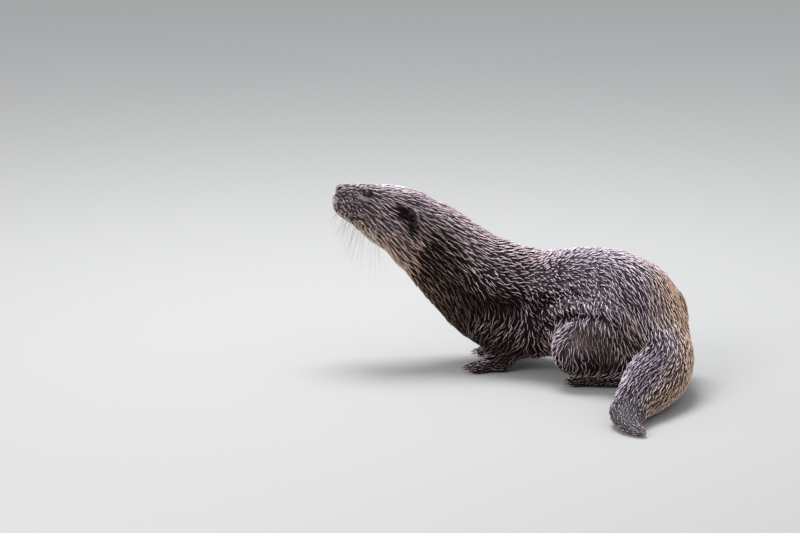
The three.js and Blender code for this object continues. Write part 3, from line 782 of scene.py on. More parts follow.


# The markings and painted light: how tan, how pale and how light the coat is. It is tan below and on the
# rump's outside. Its lightness is mostly painted light: a painted sheen where it faces up, painted light on
# raised forms, and painted shade on the flanks, in hollows, low on the legs and in the ear's hollow. It is
# near black at the roots of the whiskers and over the eye, and on the thigh its hair is short and dull, with
# painted warm shade in the thigh's hollow.
BASE_WARMTH = {
    "muzzle": 0.2, "head": 0.2, "neck": 0.3, "chest": 0.3, "belly": 0.1, "legs": 0.15, "feet": 0.2,
}
TRUNK_WARMTH = 0.02
UNDER_WARMTH = {
    "muzzle": 0.4, "head": 0.6, "neck": 0.7, "chest": 0.6, "belly": 0.4, "hips": 0.4, "legs": 0.4,
}
OTHER_UNDER_WARMTH = 0.3
UNDER_FACING = (-0.6, 0.6)  # how far down the skin faces where that begins and where it is full
# Lightness by region, and the share that its flanks keep: a painted sheen of the sky where the coat faces
# up, and painted shade on the flanks.
LIGHTNESS = {
    "muzzle": 2.0, "head": 1.22, "neck": 1.05, "chest": 0.5, "belly": 2.4, "hips": 2.2, "rump": 0.6,
    "tail": 0.62, "legs": 1.9, "foreleg": 0.5, "feet": 0.45,
}
FLANK_LIGHTNESS = {
    "muzzle": 0.85, "head": 0.97, "neck": 0.10, "chest": 0.08, "belly": 0.03, "hips": 0.04, "rump": 0.3,
    "tail": 0.5, "legs": 0.5, "feet": 0.4,
}
LIT = (0.08, 0.7)  # how far up the coat faces where its painted sheen begins and is full
HAUNCH_SHADE = 220.0  # painted light for each metre that it stands out, and painted shade where it lies in
DARKEST_HAUNCH = -0.55
# painted light and shade on the face's forms, for each metre that they stand out or lie in
FACE_SHADE = 650.0
FORM_SHADES = (0.2, 2.2)  # the darkest and the lightest that the forms' painted shade and light can make it
EAR_FORM = -0.0019  # face forms deeper than this are the hollows round the ears
# painted shade in the hollows round the ears: how much light is left, and how far it reaches
EAR_SHADE = 0.03
EAR_SHADE_REACH = (0.006, 0.0115)
DOT_RADIUS = 0.0019
DOT_DARKNESS = 0.9
LIDS = (1.15, 1.35, 2.2, 3.4)  # where the pale lids begin, are full, and fade, in the eye's openings
LID_PALENESS = 0.85
LID_DARKNESS = 0.85
DARK_OVER_EYE = (1.2, 1.9)
DARK_RIM = (1.1, 1.3)
OUTSIDE_WARMTH = (0.1, 1.15)
# What a place adds to how far it counts as outside: this much at twice the length, nothing at the length.
OUTSIDE_TURN = (0.25, 0.12)
OUTSIDE_LIGHTNESS = 2.0
TAIL_PALENESS = 0.4
TAIL_PALE_FROM = 0.84  # of the spine's length
THIGH_REACH = (1.0, 0.35)  # of the thigh's hollow, where its short hair begins and is shortest
# a warm brown in the thigh's hollow: painted shade under the thigh's raised edge
THIGH_WARMTH = 0.55
THIGH_PALENESS = 0.22
THIGH_PALE_HEIGHT = (0.035, 0.06)
# painted shadow low on the legs: the heights where it starts and where it is full
THIGH_SHADOW = (0.075, 0.03)
LOW_LEG_SHADE = 0.85
CURLS_REACH = (1.6, 0.7)  # of the thigh's raised edge, where its curls begin and are strongest
CURLS_WARMTH = 0.5
WARM_CURLS = (0.142, 0.156)
MARKINGS_SPREAD = 2
SKIN_LIGHTNESS = 0.06  # beside the coat's: the skin between the locks is left in painted shade, with little painted sheen
normals = skin.normals()
under = fade(-normals[:, 2], *UNDER_FACING) * (belongs @ of_regions(UNDER_WARMTH, OTHER_UNDER_WARMTH))
hind = belongs[:, [REGIONS.index(r) for r in ("hips", "rump", "tail_root", "tail_middle")]].sum(axis=1)
turn, turn_length = OUTSIDE_TURN
facing_out = normals[:, 0] + turn * (skin.co[:, 0] - turn_length) / turn_length
outside = hind * fade(facing_out, *OUTSIDE_WARMTH)
warmth = np.clip(belongs @ of_regions(BASE_WARMTH, TRUNK_WARMTH) + np.maximum(under, outside), 0, 1)
body_share = spine_length[station] / spine_length[-1]
lids = fade(opening, *LIDS[:2]) * (1 - fade(opening, *LIDS[2:]))
paleness = TAIL_PALENESS * fade(body_share, TAIL_PALE_FROM, 1.0) + LID_PALENESS * lids * (1 - over_eye)
flank = belongs @ of_regions(FLANK_LIGHTNESS, None)
# Painted sheen where the coat faces up, and painted shade on its flanks.
lightness = (belongs @ of_regions(LIGHTNESS, None)) * (flank + (1 - flank) * fade(normals[:, 2], *LIT))
# Painted light on raised forms, and painted shade in hollows and folds.
standing = form_heights(skin.co, haunch_forms) * HAUNCH_SHADE
standing = np.maximum(standing, DARKEST_HAUNCH) + form_heights(skin.co, face_forms) * FACE_SHADE
lightness *= np.clip(1 + standing, *FORM_SHADES)
# Painted shade, near black, in the hollows round the ears.
ear_gap = np.min([gap_to_line(skin.co, form[0]) for form in face_forms if form[2] < EAR_FORM], axis=0)
lightness *= EAR_SHADE + (1 - EAR_SHADE) * fade(ear_gap, *EAR_SHADE_REACH)
dot_tree = kdtree.KDTree(len(dots))
for number, dot in enumerate(dots):
    dot_tree.insert(dot, number)
dot_tree.balance()
from_dot = np.array([dot_tree.find(place)[2] for place in skin.co])
lightness *= 1 - DOT_DARKNESS * np.exp(-((from_dot / DOT_RADIUS) ** 2))
over_lids = over_eye * (1 - fade(opening, *DARK_OVER_EYE))
lightness *= 1 - LID_DARKNESS * np.maximum(over_lids, 1 - fade(opening, *DARK_RIM))


def near_form(name, start, end):
    """1 near a haunch form's line on this side and 0 away from it, between these shares of its reach."""
    line, reach, _ = with_line_array(HAUNCH_FORMS[name])
    return fade(gap_to_line(skin.co, line), reach * start, reach * end)


thigh = near_form("thigh_hollow", *THIGH_REACH)
curls = near_form("thigh_edge", *CURLS_REACH) * (1 - thigh)
# Painted warm shade in the thigh's hollow.
warmth = np.maximum(warmth, THIGH_WARMTH * thigh)
warmth = np.maximum(warmth, CURLS_WARMTH * curls * fade(skin.co[:, 0], *WARM_CURLS))
paleness += THIGH_PALENESS * thigh * fade(skin.co[:, 2], *THIGH_PALE_HEIGHT)
in_legs = belongs[:, [REGIONS.index(leg) for leg in LEGS]].sum(axis=1)
lightness *= 1 + OUTSIDE_LIGHTNESS * outside
# Painted shadow low on the legs, under the body.
lightness *= 1 - LOW_LEG_SHADE * in_legs * fade(skin.co[:, 2], *THIGH_SHADOW)
markings_and_light = skin.spread(np.stack([warmth, paleness, lightness], axis=1), MARKINGS_SPREAD)

skin_object = new_piece("skin", skin_mesh)
set_vectors(skin_mesh, "unbent", unbent)
set_vectors(skin_mesh, "markings_and_light", markings_and_light * (1, 1, SKIN_LIGHTNESS))
smooth(skin_object)
skin_mesh.materials.append(skin_material())
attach(skin_object, "root")
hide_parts(*FLESH)


# The coat: wet guard hairs drawn together into thin pointed locks. They overlap like slates, lie along
# the body, and are longest on the neck, the chest and the tail.
RINGS = 6
LOCK_PATCH = 0.003  # the size of a lock's patch in the baked map
MAP_MARGIN = 0.01
# The locks' half width, the gap between their roots, their length and rise; how they stray from the lie,
# curl, and gather; and the gap between the locks that they gather to. Metres and radians.
COAT = {
    "muzzle": (0.00052, 0.0016, 0.0062, 0.0016, 0.28, 0.7, 0.9, 0.0036),
    "head": (0.00064, 0.00185, 0.0145, 0.0024, 0.12, 0.55, 0.9, 0.0043),
    "neck": (0.00072, 0.0020, 0.0170, 0.0038, 0.12, 0.4, 0.85, 0.0047),
    "chest": (0.00074, 0.0021, 0.0160, 0.0042, 0.16, 0.6, 0.85, 0.0047),
    "belly": (0.00102, 0.0020, 0.0106, 0.0042, 0.28, 1.2, 0.85, 0.0045),
    "hips": (0.00090, 0.0020, 0.0120, 0.0042, 0.22, 0.9, 0.85, 0.0045),
    "rump": (0.00074, 0.0021, 0.0185, 0.0042, 0.10, 0.35, 0.8, 0.0045),
    "tail_root": (0.00086, 0.0022, 0.0215, 0.0040, 0.07, 0.25, 0.8, 0.0050),
    "tail_middle": (0.00080, 0.0023, 0.0200, 0.0038, 0.06, 0.2, 0.8, 0.0048),
    "tail_tip": (0.00055, 0.0020, 0.0090, 0.0022, 0.08, 0.2, 0.6, 0.0034),
    "legs": (0.00078, 0.0022, 0.0150, 0.0036, 0.14, 0.6, 0.85, 0.0048),
    "feet": (0.00045, 0.0020, 0.0045, 0.0010, 0.12, 0.2, 0.5, 0.003),
}
COAT_ITEMS = ("width", "gap", "length", "rise", "stray", "curl", "gather", "clump")
RISE_ALONG = np.array([-0.15, 0.2, 0.48, 0.7, 0.86, 0.96, 1.0])
WIDTH_ALONG = np.array([0.7, 1.0, 1.05, 1.0, 0.86, 0.56, 0.0])
HEIGHT_TO_WIDTH = {"over": 1.15, "under": 0.7}
CLUMP_REACH = 0.44  # of the gap between clumps: nearer locks gather to the clump, and others lie under it
GATHER_POWER = 1.1  # past 1, a lock gathers more towards its tip
UNDER_RISE = 0.55
CLUMP_RISES = (0.8, 1.1)
LOCK_RISES = (0.9, 1.05)
LENGTHS = (0.75, 1.15)
WIDTHS = (0.8, 1.25)
# On the thigh the locks are shorter, flatter and finer, and along its edge they stray and curl more.
BRUSHED = {"length": -0.25, "rise": -0.4, "width": -0.25, "evenness": 0.7}
CURLY = {"stray": 0.6, "curl": 0.8}
# How much painted sheen the locks under the clumps get, little, as painted shade, and those in them; how
# much less the outer ones in a clump get, a painted highlight along the clump; and how even under and over
# locks are, which lightens the ones and darkens the others.
UNDER_LIGHT = (0.04, 0.24)
OVER_LIGHT = (1.6, 4.8)
OVER_POWER = 1.5  # past 1, fewer clumps are light
CLUMP_FALL = 0.55
EVENNESS = {"hips": 0.3, "rump": 0.3, "tail": 0.4, "neck": 0.1}
EVEN_UNDER = 3
EVEN_OVER = 0.3
CROWDING = 4.5  # candidates for each root that is kept
# No lock grows from the soles, the nose's leather and the lids.
SOLE = (-0.55, 0.006)  # how far down it faces, and how high it reaches
LEATHER_REACH = 0.0105
BARE_OPENING = 1.5
LEAST_HEIGHT = 0.0009  # over the floor
MIDDLE_OF_CURL = 0.4  # where along its length a curling lock follows the lie
COAT_PIECES = {
    "coat_head": ["muzzle", "head"],
    "coat_neck": ["neck"],
    "coat_chest": ["chest"],
    "coat_belly": ["belly"],
    "coat_hips": ["hips"],
    "coat_rump": ["rump"],
    "coat_tail_root": ["tail_root"],
    "coat_tail": ["tail_middle", "tail_tip"],
    "coat_forelegs": LEGS[:2] + FEET[:2],
    "coat_hindlegs": LEGS[2:] + FEET[2:],
}
chance = np.random.default_rng(7)


def lock_form():
    """One lock: a three-sided spike with a ridge on top, closed at its root, with a point for its tip."""
    bm = bmesh.new()
    bmesh.ops.create_circle(bm, cap_ends=True, segments=3, radius=1)
    face = bm.faces[:][0]
    for ring in range(RINGS):
        out = bmesh.ops.extrude_face_region(bm, geom=[face])["geom"]
        if ring:
            bmesh.ops.delete(bm, geom=[face], context="FACES_ONLY")
        verts = [v for v in out if isinstance(v, bmesh.types.BMVert)]
        bmesh.ops.translate(bm, verts=verts, vec=(0, 0, 1))
        face = next(f for f in out if isinstance(f, bmesh.types.BMFace))
    bmesh.ops.delete(bm, geom=[face], context="FACES_ONLY")
    bmesh.ops.pointmerge(bm, verts=verts, merge_co=(0, 0, RINGS))
    bmesh.ops.recalc_face_normals(bm, faces=bm.faces)
    bm.verts.index_update()
    corners = np.array([v.co for v in bm.verts])
    faces = [[loop.vert.index for loop in f.loops] for f in bm.faces]
    bm.free()
    return corners, faces


LOCK_CORNERS, LOCK_FACES = lock_form()
LOCK_RING = LOCK_CORNERS[:, 2].round().astype(int)
LOCK_ACROSS = LOCK_CORNERS[:, 0]
LOCK_UP = LOCK_CORNERS[:, 1]
LOCK_RIDGE = LOCK_UP > 0.5
TIP_RIDGE = 0.9  # how far the tip counts as ridge
# A lock's patch: its upper sides reach this far on either side of a middle, and its underside lies in a
# strip beside them.
UPPER_PATCH = (0.4, 0.45)
UNDER_PATCH = (0.9, 0.1, 0.05)  # a side's place, how far the other is from it, and how far back the ridge is


def lock_patch():
    """Where each face corner of a lock lies in its patch: the two upper sides take most of its width, and
    the rest lies in a strip beside them."""
    out = []
    for face in LOCK_FACES:
        ridged = any(LOCK_RIDGE[v] for v in face) and len({LOCK_RING[v] for v in face}) > 1
        for v in face:
            if ridged:
                across = UPPER_PATCH[0] + UPPER_PATCH[1] * LOCK_ACROSS[v]
            else:
                strip, other_side, to_ridge = UNDER_PATCH
                across = strip + other_side * (LOCK_ACROSS[v] > 0) - to_ridge * LOCK_RIDGE[v]
            out.append((LOCK_RING[v] / RINGS, across))
    return np.array(out)


def joined_locks(name, paths, outs, widths, heights, roots, marks):
    """One piece of many locks. Each has a path of RINGS + 1 points, and at each point a way out of the
    skin, a half width and a height. roots are their places on the baked map, marks their markings and light."""
    n, at = len(paths), LOCK_RING
    ahead = unit(np.gradient(paths, axis=1))
    across = unit(np.cross(ahead, outs))
    out = np.cross(across, ahead)
    corners = (paths[:, at] + across[:, at] * (LOCK_ACROSS * widths[:, at])[..., None]
               + out[:, at] * (LOCK_UP * heights[:, at])[..., None])
    corners[..., 2] = np.maximum(corners[..., 2], SOLE_HEIGHT)
    sizes = np.array([len(face) for face in LOCK_FACES])
    order = np.concatenate(LOCK_FACES)
    mesh = bpy.data.meshes.new(name)
    mesh.vertices.add(n * len(at))
    mesh.vertices.foreach_set("co", corners.astype(np.float32).ravel())
    mesh.loops.add(n * len(order))
    numbers = np.arange(n)[:, None] * len(at) + order
    mesh.loops.foreach_set("vertex_index", numbers.ravel().astype(np.int32))
    mesh.polygons.add(n * len(sizes))
    firsts = np.concatenate([[0], np.cumsum(sizes)[:-1]]) + np.arange(n)[:, None] * len(order)
    mesh.polygons.foreach_set("loop_start", firsts.ravel().astype(np.int32))
    mesh.polygons.foreach_set("use_smooth", np.ones(n * len(sizes), bool))
    mesh.update(calc_edges=True)
    places = roots[:, None] + LOCK_PATCH * (lock_patch()[None] - 0.5)
    mesh.uv_layers.new(name="OFBake").data.foreach_set("uv", places.astype(np.float32).ravel())
    lock = np.zeros((n, len(at), 3))
    lock[..., 0] = np.where(at == RINGS, TIP_RIDGE, LOCK_RIDGE)
    lock[..., 1] = at / RINGS
    lock[..., 2] = chance.random(n)[:, None]
    set_vectors(mesh, "lock", lock)
    set_vectors(mesh, "markings_and_light", np.repeat(marks[:, None], len(at), axis=1))
    made = new_piece(name, mesh)
    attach(made, "root")
    return made


def spaced(points, gaps):
    """The numbers of points that stand no nearer to each other than their gaps."""
    tree = kdtree.KDTree(len(points))
    for i, p in enumerate(points):
        tree.insert(p, i)
    tree.balance()
    free = np.ones(len(points), bool)
    kept = []
    for i, p in enumerate(points):
        if free[i]:
            kept.append(i)
            for _, j, _ in tree.find_range(p, gaps[i]):
                free[j] = False
    return np.array(kept)


def scattered(gap):
    """Points on the skin, as many to an area as the gaps ask for: their triangles and their places."""
    a, b, c = (skin.co[triangles[:, i]] for i in range(3))
    area = np.linalg.norm(np.cross(b - a, c - a), axis=1) / 2
    wanted = area * CROWDING / gap**2
    count = int(wanted.sum())
    chosen = chance.choice(len(triangles), count, p=wanted / wanted.sum())
    u, v = chance.random((2, count, 1))
    turned = u + v > 1
    u, v = np.where(turned, 1 - u, u), np.where(turned, 1 - v, v)
    return chosen, a[chosen] + u * (b - a)[chosen] + v * (c - a)[chosen]


def march(places, host, lengths, yaw, curl):
    """The paths of locks over the skin, and the ways out of it, at each ring."""
    paths, outs = [], []
    for ring in range(RINGS + 1):
        out = unit(normals[triangles[host]].mean(axis=1))
        way = unit(lie[triangles[host]].mean(axis=1))
        angle = (yaw + curl * (ring / RINGS - MIDDLE_OF_CURL))[:, None]
        way = unit(np.cos(angle) * way + np.sin(angle) * np.cross(out, way))
        paths.append(places)
        outs.append(out)
        found = [skin_tree.find_nearest(p) for p in places + way * (lengths / RINGS)[:, None]]
        places, host = np.array([f[0] for f in found]), np.array([f[2] for f in found])
    return np.stack(paths, axis=1), np.stack(outs, axis=1)


skin_mesh.calc_loop_triangles()
triangles = np.empty(len(skin_mesh.loop_triangles) * 3, int)
skin_mesh.loop_triangles.foreach_get("vertices", triangles)
triangles = triangles.reshape(-1, 3)
skin_tree = BVHTree.FromPolygons(skin.co.tolist(), triangles.tolist())


def at_roots(values):
    """The skin's values where the locks grow."""
    return values[triangles[host]].mean(axis=1)


coat_table = np.array([by_part(COAT, None, region) for region in REGIONS])
everywhere = dict(zip(COAT_ITEMS, (belongs @ coat_table).T))
host, places = scattered(everywhere["gap"][triangles].mean(axis=1))
sole = (at_roots(normals)[:, 2] < SOLE[0]) & (places[:, 2] < SOLE[1])
leather = np.linalg.norm(places - np.array(nose_centre), axis=1) < LEATHER_REACH
bare = sole | leather | (at_roots(opening) < BARE_OPENING)
host, places = host[~bare], places[~bare]
kept = spaced(places, at_roots(everywhere["gap"]))
host, places = host[kept], places[kept]

n = len(host)
root_items = {item: at_roots(values) for item, values in everywhere.items()}
brushed, curly = at_roots(thigh), at_roots(curls)
lengths = root_items["length"] * chance.uniform(*LENGTHS, n) * (1 + BRUSHED["length"] * brushed)
yaw = root_items["stray"] * chance.normal(0, 1, n) * (1 + CURLY["stray"] * curly)
curl = root_items["curl"] * chance.normal(0, 1, n) * (1 + CURLY["curl"] * curly)
paths, outs = march(places, host, lengths, yaw, curl)

# Neighbours gather to one lock of each clump, as wet hair does, and stand over the rest.
leaders = spaced(places, root_items["clump"])
leader_tree = kdtree.KDTree(len(leaders))
for number in leaders:
    leader_tree.insert(places[number], int(number))
leader_tree.balance()
found = [leader_tree.find(place) for place in places]
leader = np.array([number for _, number, _ in found])
from_leader = np.array([gap for _, _, gap in found]) / (CLUMP_REACH * root_items["clump"])
over = from_leader < 1
along = np.arange(RINGS + 1) / RINGS
pull = np.where(over, root_items["gather"], 0.0)[:, None] * along**GATHER_POWER
paths += pull[..., None] * (paths[leader] - paths)
rises = np.where(over, chance.uniform(*CLUMP_RISES, n)[leader], UNDER_RISE)
rises *= chance.uniform(*LOCK_RISES, n)
rises *= 1 + BRUSHED["rise"] * brushed
paths += outs * (root_items["rise"] * rises)[:, None, None] * RISE_ALONG[None, :, None]
widths = root_items["width"] * chance.uniform(*WIDTHS, n) * (1 + BRUSHED["width"] * brushed)
widths = widths[:, None] * WIDTH_ALONG
heights = widths * np.where(over, HEIGHT_TO_WIDTH["over"], HEIGHT_TO_WIDTH["under"])[:, None]
paths[..., 2] = np.maximum(paths[..., 2], LEAST_HEIGHT)

root_unbent = at_roots(unbent)
map_across = 1 - 2 * MAP_MARGIN
round_spine = np.arctan2(root_unbent[:, 1], root_unbent[:, 2]) / (2 * math.pi)
along_map = MAP_MARGIN + map_across * root_unbent[:, 0] / spine_length[-1]
roots = np.stack([along_map, 0.5 + map_across * round_spine], axis=1)
marks = at_roots(markings_and_light)
# The painted sheen of each lock: strong on the clumps, most at their middles, and faint on the locks under
# them, as painted shade.
even = np.maximum(at_roots(belongs @ of_regions(EVENNESS, 0)), BRUSHED["evenness"] * brushed)
over_light = OVER_LIGHT[0] + (OVER_LIGHT[1] - OVER_LIGHT[0]) * chance.random(n)[leader] ** OVER_POWER
over_light *= (1 - EVEN_OVER * even) * (1 - CLUMP_FALL * from_leader**2)
capped_light = np.minimum(marks[:, 2], 1)
under_light = capped_light * chance.uniform(*UNDER_LIGHT, n) * (1 + EVEN_UNDER * even)
marks[:, 2] = np.where(over, marks[:, 2] * over_light, capped_light * under_light)
region = at_roots(belongs).argmax(axis=1)
coat_finish = coat_material()
for piece_name, parts in COAT_PIECES.items():
    pick = np.isin(region, [REGIONS.index(part) for part in parts])
    coat = joined_locks(piece_name, *(each[pick] for each in (paths, outs, widths, heights, roots, marks)))
    coat.data.materials.append(coat_finish)


# The eyes: round wet balls set in their lids, with a dark brown iris round a black pupil. Each is turned
# the way that it looks.
IRIS = (0.70, 0.93)  # the cosines from the way it looks at which the iris and the pupil begin
IRIS_COLOURS = ((0.005, 0.0025, 0.0015, 1), (0.015, 0.0075, 0.004, 1))
PUPIL_COLOUR = (0.002, 0.002, 0.002, 1)
EYE_WHITE_COLOUR = (0.012, 0.008, 0.007, 1)  # brown too, as an otter's is


def eye_material():
    """Dark brown round a black pupil, under a wet surface."""
    material, tree, shader = new_material("eye", Specular_IOR_Level=0.5, Roughness=0.14)
    toward, fleck, _ = parts_of(tree, "iris")
    iris = mixed(tree, fleck, *IRIS_COLOURS)
    around = calculated(tree, "GREATER_THAN", toward, IRIS[0])
    pupil = calculated(tree, "GREATER_THAN", toward, IRIS[1])
    colour = mixed(tree, around, EYE_WHITE_COLOUR, iris)
    tree.links.new(mixed(tree, pupil, colour, PUPIL_COLOUR), shader.inputs["Base Color"])
    return material


eye_finish = eye_material()
for side in SIDES:
    centre, gaze, _, _ = eye_frame(side)
    bm = bmesh.new()
    bmesh.ops.create_uvsphere(bm, u_segments=48, v_segments=32, radius=EYE_RADIUS)
    toward = [v.co.normalized().dot(Vector(gaze)) for v in bm.verts]
    bmesh.ops.translate(bm, verts=bm.verts, vec=centre)
    eye = new_piece(f"eyeball_{side}", bm)
    smooth(eye)
    flecks = chance.random(len(toward))
    set_vectors(eye.data, "iris", np.stack([toward, flecks, flecks], axis=1))
    eye.data.materials.append(eye_finish)
    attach(eye, "root")
    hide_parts(f"eye_{side}")


# The nose: a pad of dark wet leather at the end of the muzzle, with a long slanting nostril on either
# side of a groove.
NOSTRIL = {"ahead": 0.42, "side": 0.74, "up": 0.42}  # where it opens, as a way out of the nose's middle
NOSTRIL_LEAN = {"ahead": -0.62, "side": -0.1, "up": 0.78}
NOSTRIL_SIZE = (4.6 * MM, 2.2 * MM)
NOSTRIL_DEPTH = 4.0 * MM
NOSTRIL_EDGE = 0.7  # under 1, its walls are steep
# The raised lip round a nostril: where it stands and how wide it is, in the nostril's half sizes, its
# height, and its share of the paler colour, which is partly a painted reflection on the wet lip.
LIP_RING = 1.4
LIP_WIDTH = 0.35
LIP_HEIGHT = 0.2 * MM
LIP_PALENESS = 0.35
NOSTRIL_SHADE_REACH = (1.25, 4)  # how far out its painted shade reaches, and how sharp that edge is
GROOVE = (0.9 * MM, 0.9 * MM)  # half width and depth
NOSE_TAPER = 0.35  # how much narrower it is below
# dark and pale patches; the pale one, like the lip's colour, is partly a painted reflection on wet leather
LEATHER_COLOURS = ((0.05, 0.038, 0.04, 1), (0.20, 0.17, 0.185, 1))
LIP_COLOUR = (0.42, 0.37, 0.40, 1)
# painted shade inside the nostrils
NOSTRIL_SHADE_COLOUR = (0.003, 0.002, 0.002, 1)
LEATHER_ROUGHNESS = (0.25, 0.2)  # slope and offset over the patches
PEBBLES = 1500.0  # to a metre
PEBBLE_BUMP = {"Strength": 0.5, "Distance": 0.0002}
LEATHER_PATCHES = 260.0


def nose_form():
    """The nose's bmesh, and how far each vertex is inside a nostril's painted shade and on its lip."""
    low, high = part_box("nose_leather")
    centre = (low + high) / 2
    radii = (high - low) / 2
    bm = bmesh.new()
    bmesh.ops.create_uvsphere(bm, u_segments=96, v_segments=64, radius=1)
    bmesh.ops.scale(bm, verts=bm.verts, vec=radii)
    ahead, up = Vector(-BACK), Vector(UP)
    nostrils = []
    for v in bm.verts:
        v.co.y *= 1 - NOSE_TAPER * max(0.0, -v.co.normalized().dot(up))
        outward = v.co.normalized()
        across = abs(v.co.y)
        way = Vector((0, math.copysign(1, v.co.y), 0))
        toward = (ahead * NOSTRIL["ahead"] + way * NOSTRIL["side"] + up * NOSTRIL["up"]).normalized()
        spot = Vector((toward.x * radii.x, toward.y * radii.y, toward.z * radii.z))
        rel = v.co - spot
        long_way = ahead * NOSTRIL_LEAN["ahead"] + way * NOSTRIL_LEAN["side"] + up * NOSTRIL_LEAN["up"]
        long_way = (long_way - toward * long_way.dot(toward)).normalized()
        a = rel.dot(long_way)
        b = (rel - long_way * a).length
        ring = math.hypot(a / NOSTRIL_SIZE[0], b / NOSTRIL_SIZE[1])
        dent = NOSTRIL_DEPTH * max(0.0, 1 - ring * ring) ** NOSTRIL_EDGE
        lip = math.exp(-((ring - LIP_RING) / LIP_WIDTH) ** 2)
        groove = GROOVE[1] * math.exp(-((across / GROOVE[0]) ** 2)) * max(0.0, outward.dot(ahead))
        v.co -= outward * (dent + groove - LIP_HEIGHT * lip)
        inside = min(1.0, max(0.0, NOSTRIL_SHADE_REACH[0] - ring) * NOSTRIL_SHADE_REACH[1])
        nostrils.append((inside, lip, 0.0))
    bmesh.ops.translate(bm, verts=bm.verts, vec=centre)
    return bm, nostrils


def leather_material():
    """Dark pebbled leather in uneven patches, paler on the nostrils' lips, partly a painted reflection, and
    black inside them with painted shade.
    """
    material, tree, shader = new_material("nose leather", Specular_IOR_Level=0.6)
    place = add_shader_node(tree, "TexCoord").outputs["Object"]
    pebbles = add_shader_node(tree, "TexVoronoi", {"Vector": place, "Scale": PEBBLES}).outputs["Distance"]
    patches = {"Vector": place, "Scale": LEATHER_PATCHES, "Detail": 3}
    patches = add_shader_node(tree, "TexNoise", patches).outputs["Fac"]
    inside, lip, _ = parts_of(tree, "nostril")
    colour = mixed(tree, patches, *LEATHER_COLOURS)
    # paler lips, partly a painted reflection
    colour = mixed(tree, calculated(tree, "MULTIPLY", lip, LIP_PALENESS), colour, LIP_COLOUR)
    # painted shade inside the nostrils
    colour = mixed(tree, inside, colour, NOSTRIL_SHADE_COLOUR)
    tree.links.new(colour, shader.inputs["Base Color"])
    rough = calculated(tree, "MULTIPLY_ADD", patches, *LEATHER_ROUGHNESS)
    tree.links.new(rough, shader.inputs["Roughness"])
    bump = add_shader_node(tree, "Bump", {"Height": pebbles, **PEBBLE_BUMP})
    tree.links.new(bump.outputs[0], shader.inputs["Normal"])
    return material


nose_bm, in_nostrils = nose_form()
nose = new_piece("nose", nose_bm)
set_vectors(nose.data, "nostril", in_nostrils)
smooth(nose)
nose.data.materials.append(leather_material())
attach(nose, "root")
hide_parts("nose_leather")


# The ears: small round flaps with a thick rim, cupped forwards, in short wet hair.
EAR_GRAIN = 0.0005
EAR_ROUNDS = 14
EAR_HOLLOW = 1.9 * MM
EAR_LEAN = math.radians(28)  # how far its top leans forward
EAR_SIZE = 1.1  # beside the CAD's
EAR_SHIFT = (1.5 * MM, -3.0 * MM)  # back and up
EAR_FACING = 1.4  # how much more the cup faces forwards than outwards
EAR_FRONT = (0.1, 0.6)  # how far a place faces the way of the cup, from its rim to its inside
CUP = (0.35, 0.85)  # where the hollow ends, as shares of the way from the middle to the rim
EAR_LIGHTNESS = (0.08, 0.35)  # painted shade inside the cup, and how much more light on its back
EAR_LOCK = {"gap": 0.0013, "width": 0.00045, "length": 0.0065, "rise": 0.0012}
EAR_LOCK_LENGTHS = (0.6, 1.2)
EAR_LOCK_WIDTHS = (0.8, 1.3)
EAR_LOCK_WAY = (0.9, -0.4)  # back and up
EAR_LOCK_STRAY = 0.15
EAR_LOCKS_FROM = 0.3  # locks grow where it faces away from the cup's way more than this
EAR_LOCK_WARMTH = 0.15
EAR_LOCK_LIGHTNESS = (0.2, 1.2, 1.6)  # painted sheen: the least, how much more, and a power that makes few light
EAR_MAP = (0.3, 0.02, 0.004, 20)  # the first lock's place in the baked map, the gap, how many to a row


def smooth_copy(node, grain, rounds):
    """A CAD node's form with its corners rounded, in fine faces."""
    bm = bmesh.new()
    add_node(bm, node)
    form = Surface(remeshed(bm, node + "_form", grain))
    form.co = form.spread(form.co, rounds)
    form.normals()
    return form


def ear_locks(flap, facing):
    """Locks on the ear's back and rim, which sweep back and down."""
    rear = np.flatnonzero(facing < EAR_LOCKS_FROM)
    rear = chance.permutation(rear)
    rear = rear[spaced(flap.co[rear], np.full(len(rear), EAR_LOCK["gap"]))]
    out = flap.normals()[rear]
    back, up = EAR_LOCK_WAY
    way = unit(BACK * back + UP * up + chance.normal(0, EAR_LOCK_STRAY, (len(rear), 3)))
    way = unit(way - out * (way * out).sum(axis=1, keepdims=True))
    length = EAR_LOCK["length"] * chance.uniform(*EAR_LOCK_LENGTHS, len(rear))
    steps = (np.arange(RINGS + 1) / RINGS)[None, :, None]
    paths = flap.co[rear][:, None] + steps * (way * length[:, None])[:, None]
    paths += EAR_LOCK["rise"] * RISE_ALONG[None, :, None] * out[:, None]
    widths = EAR_LOCK["width"] * chance.uniform(*EAR_LOCK_WIDTHS, (len(rear), 1)) * WIDTH_ALONG
    least, more, power = EAR_LOCK_LIGHTNESS
    marks = np.zeros((len(rear), 3))
    marks[:, 0] = EAR_LOCK_WARMTH
    marks[:, 2] = least + more * chance.random(len(rear)) ** power
    return paths, np.repeat(out[:, None], RINGS + 1, axis=1), widths, marks


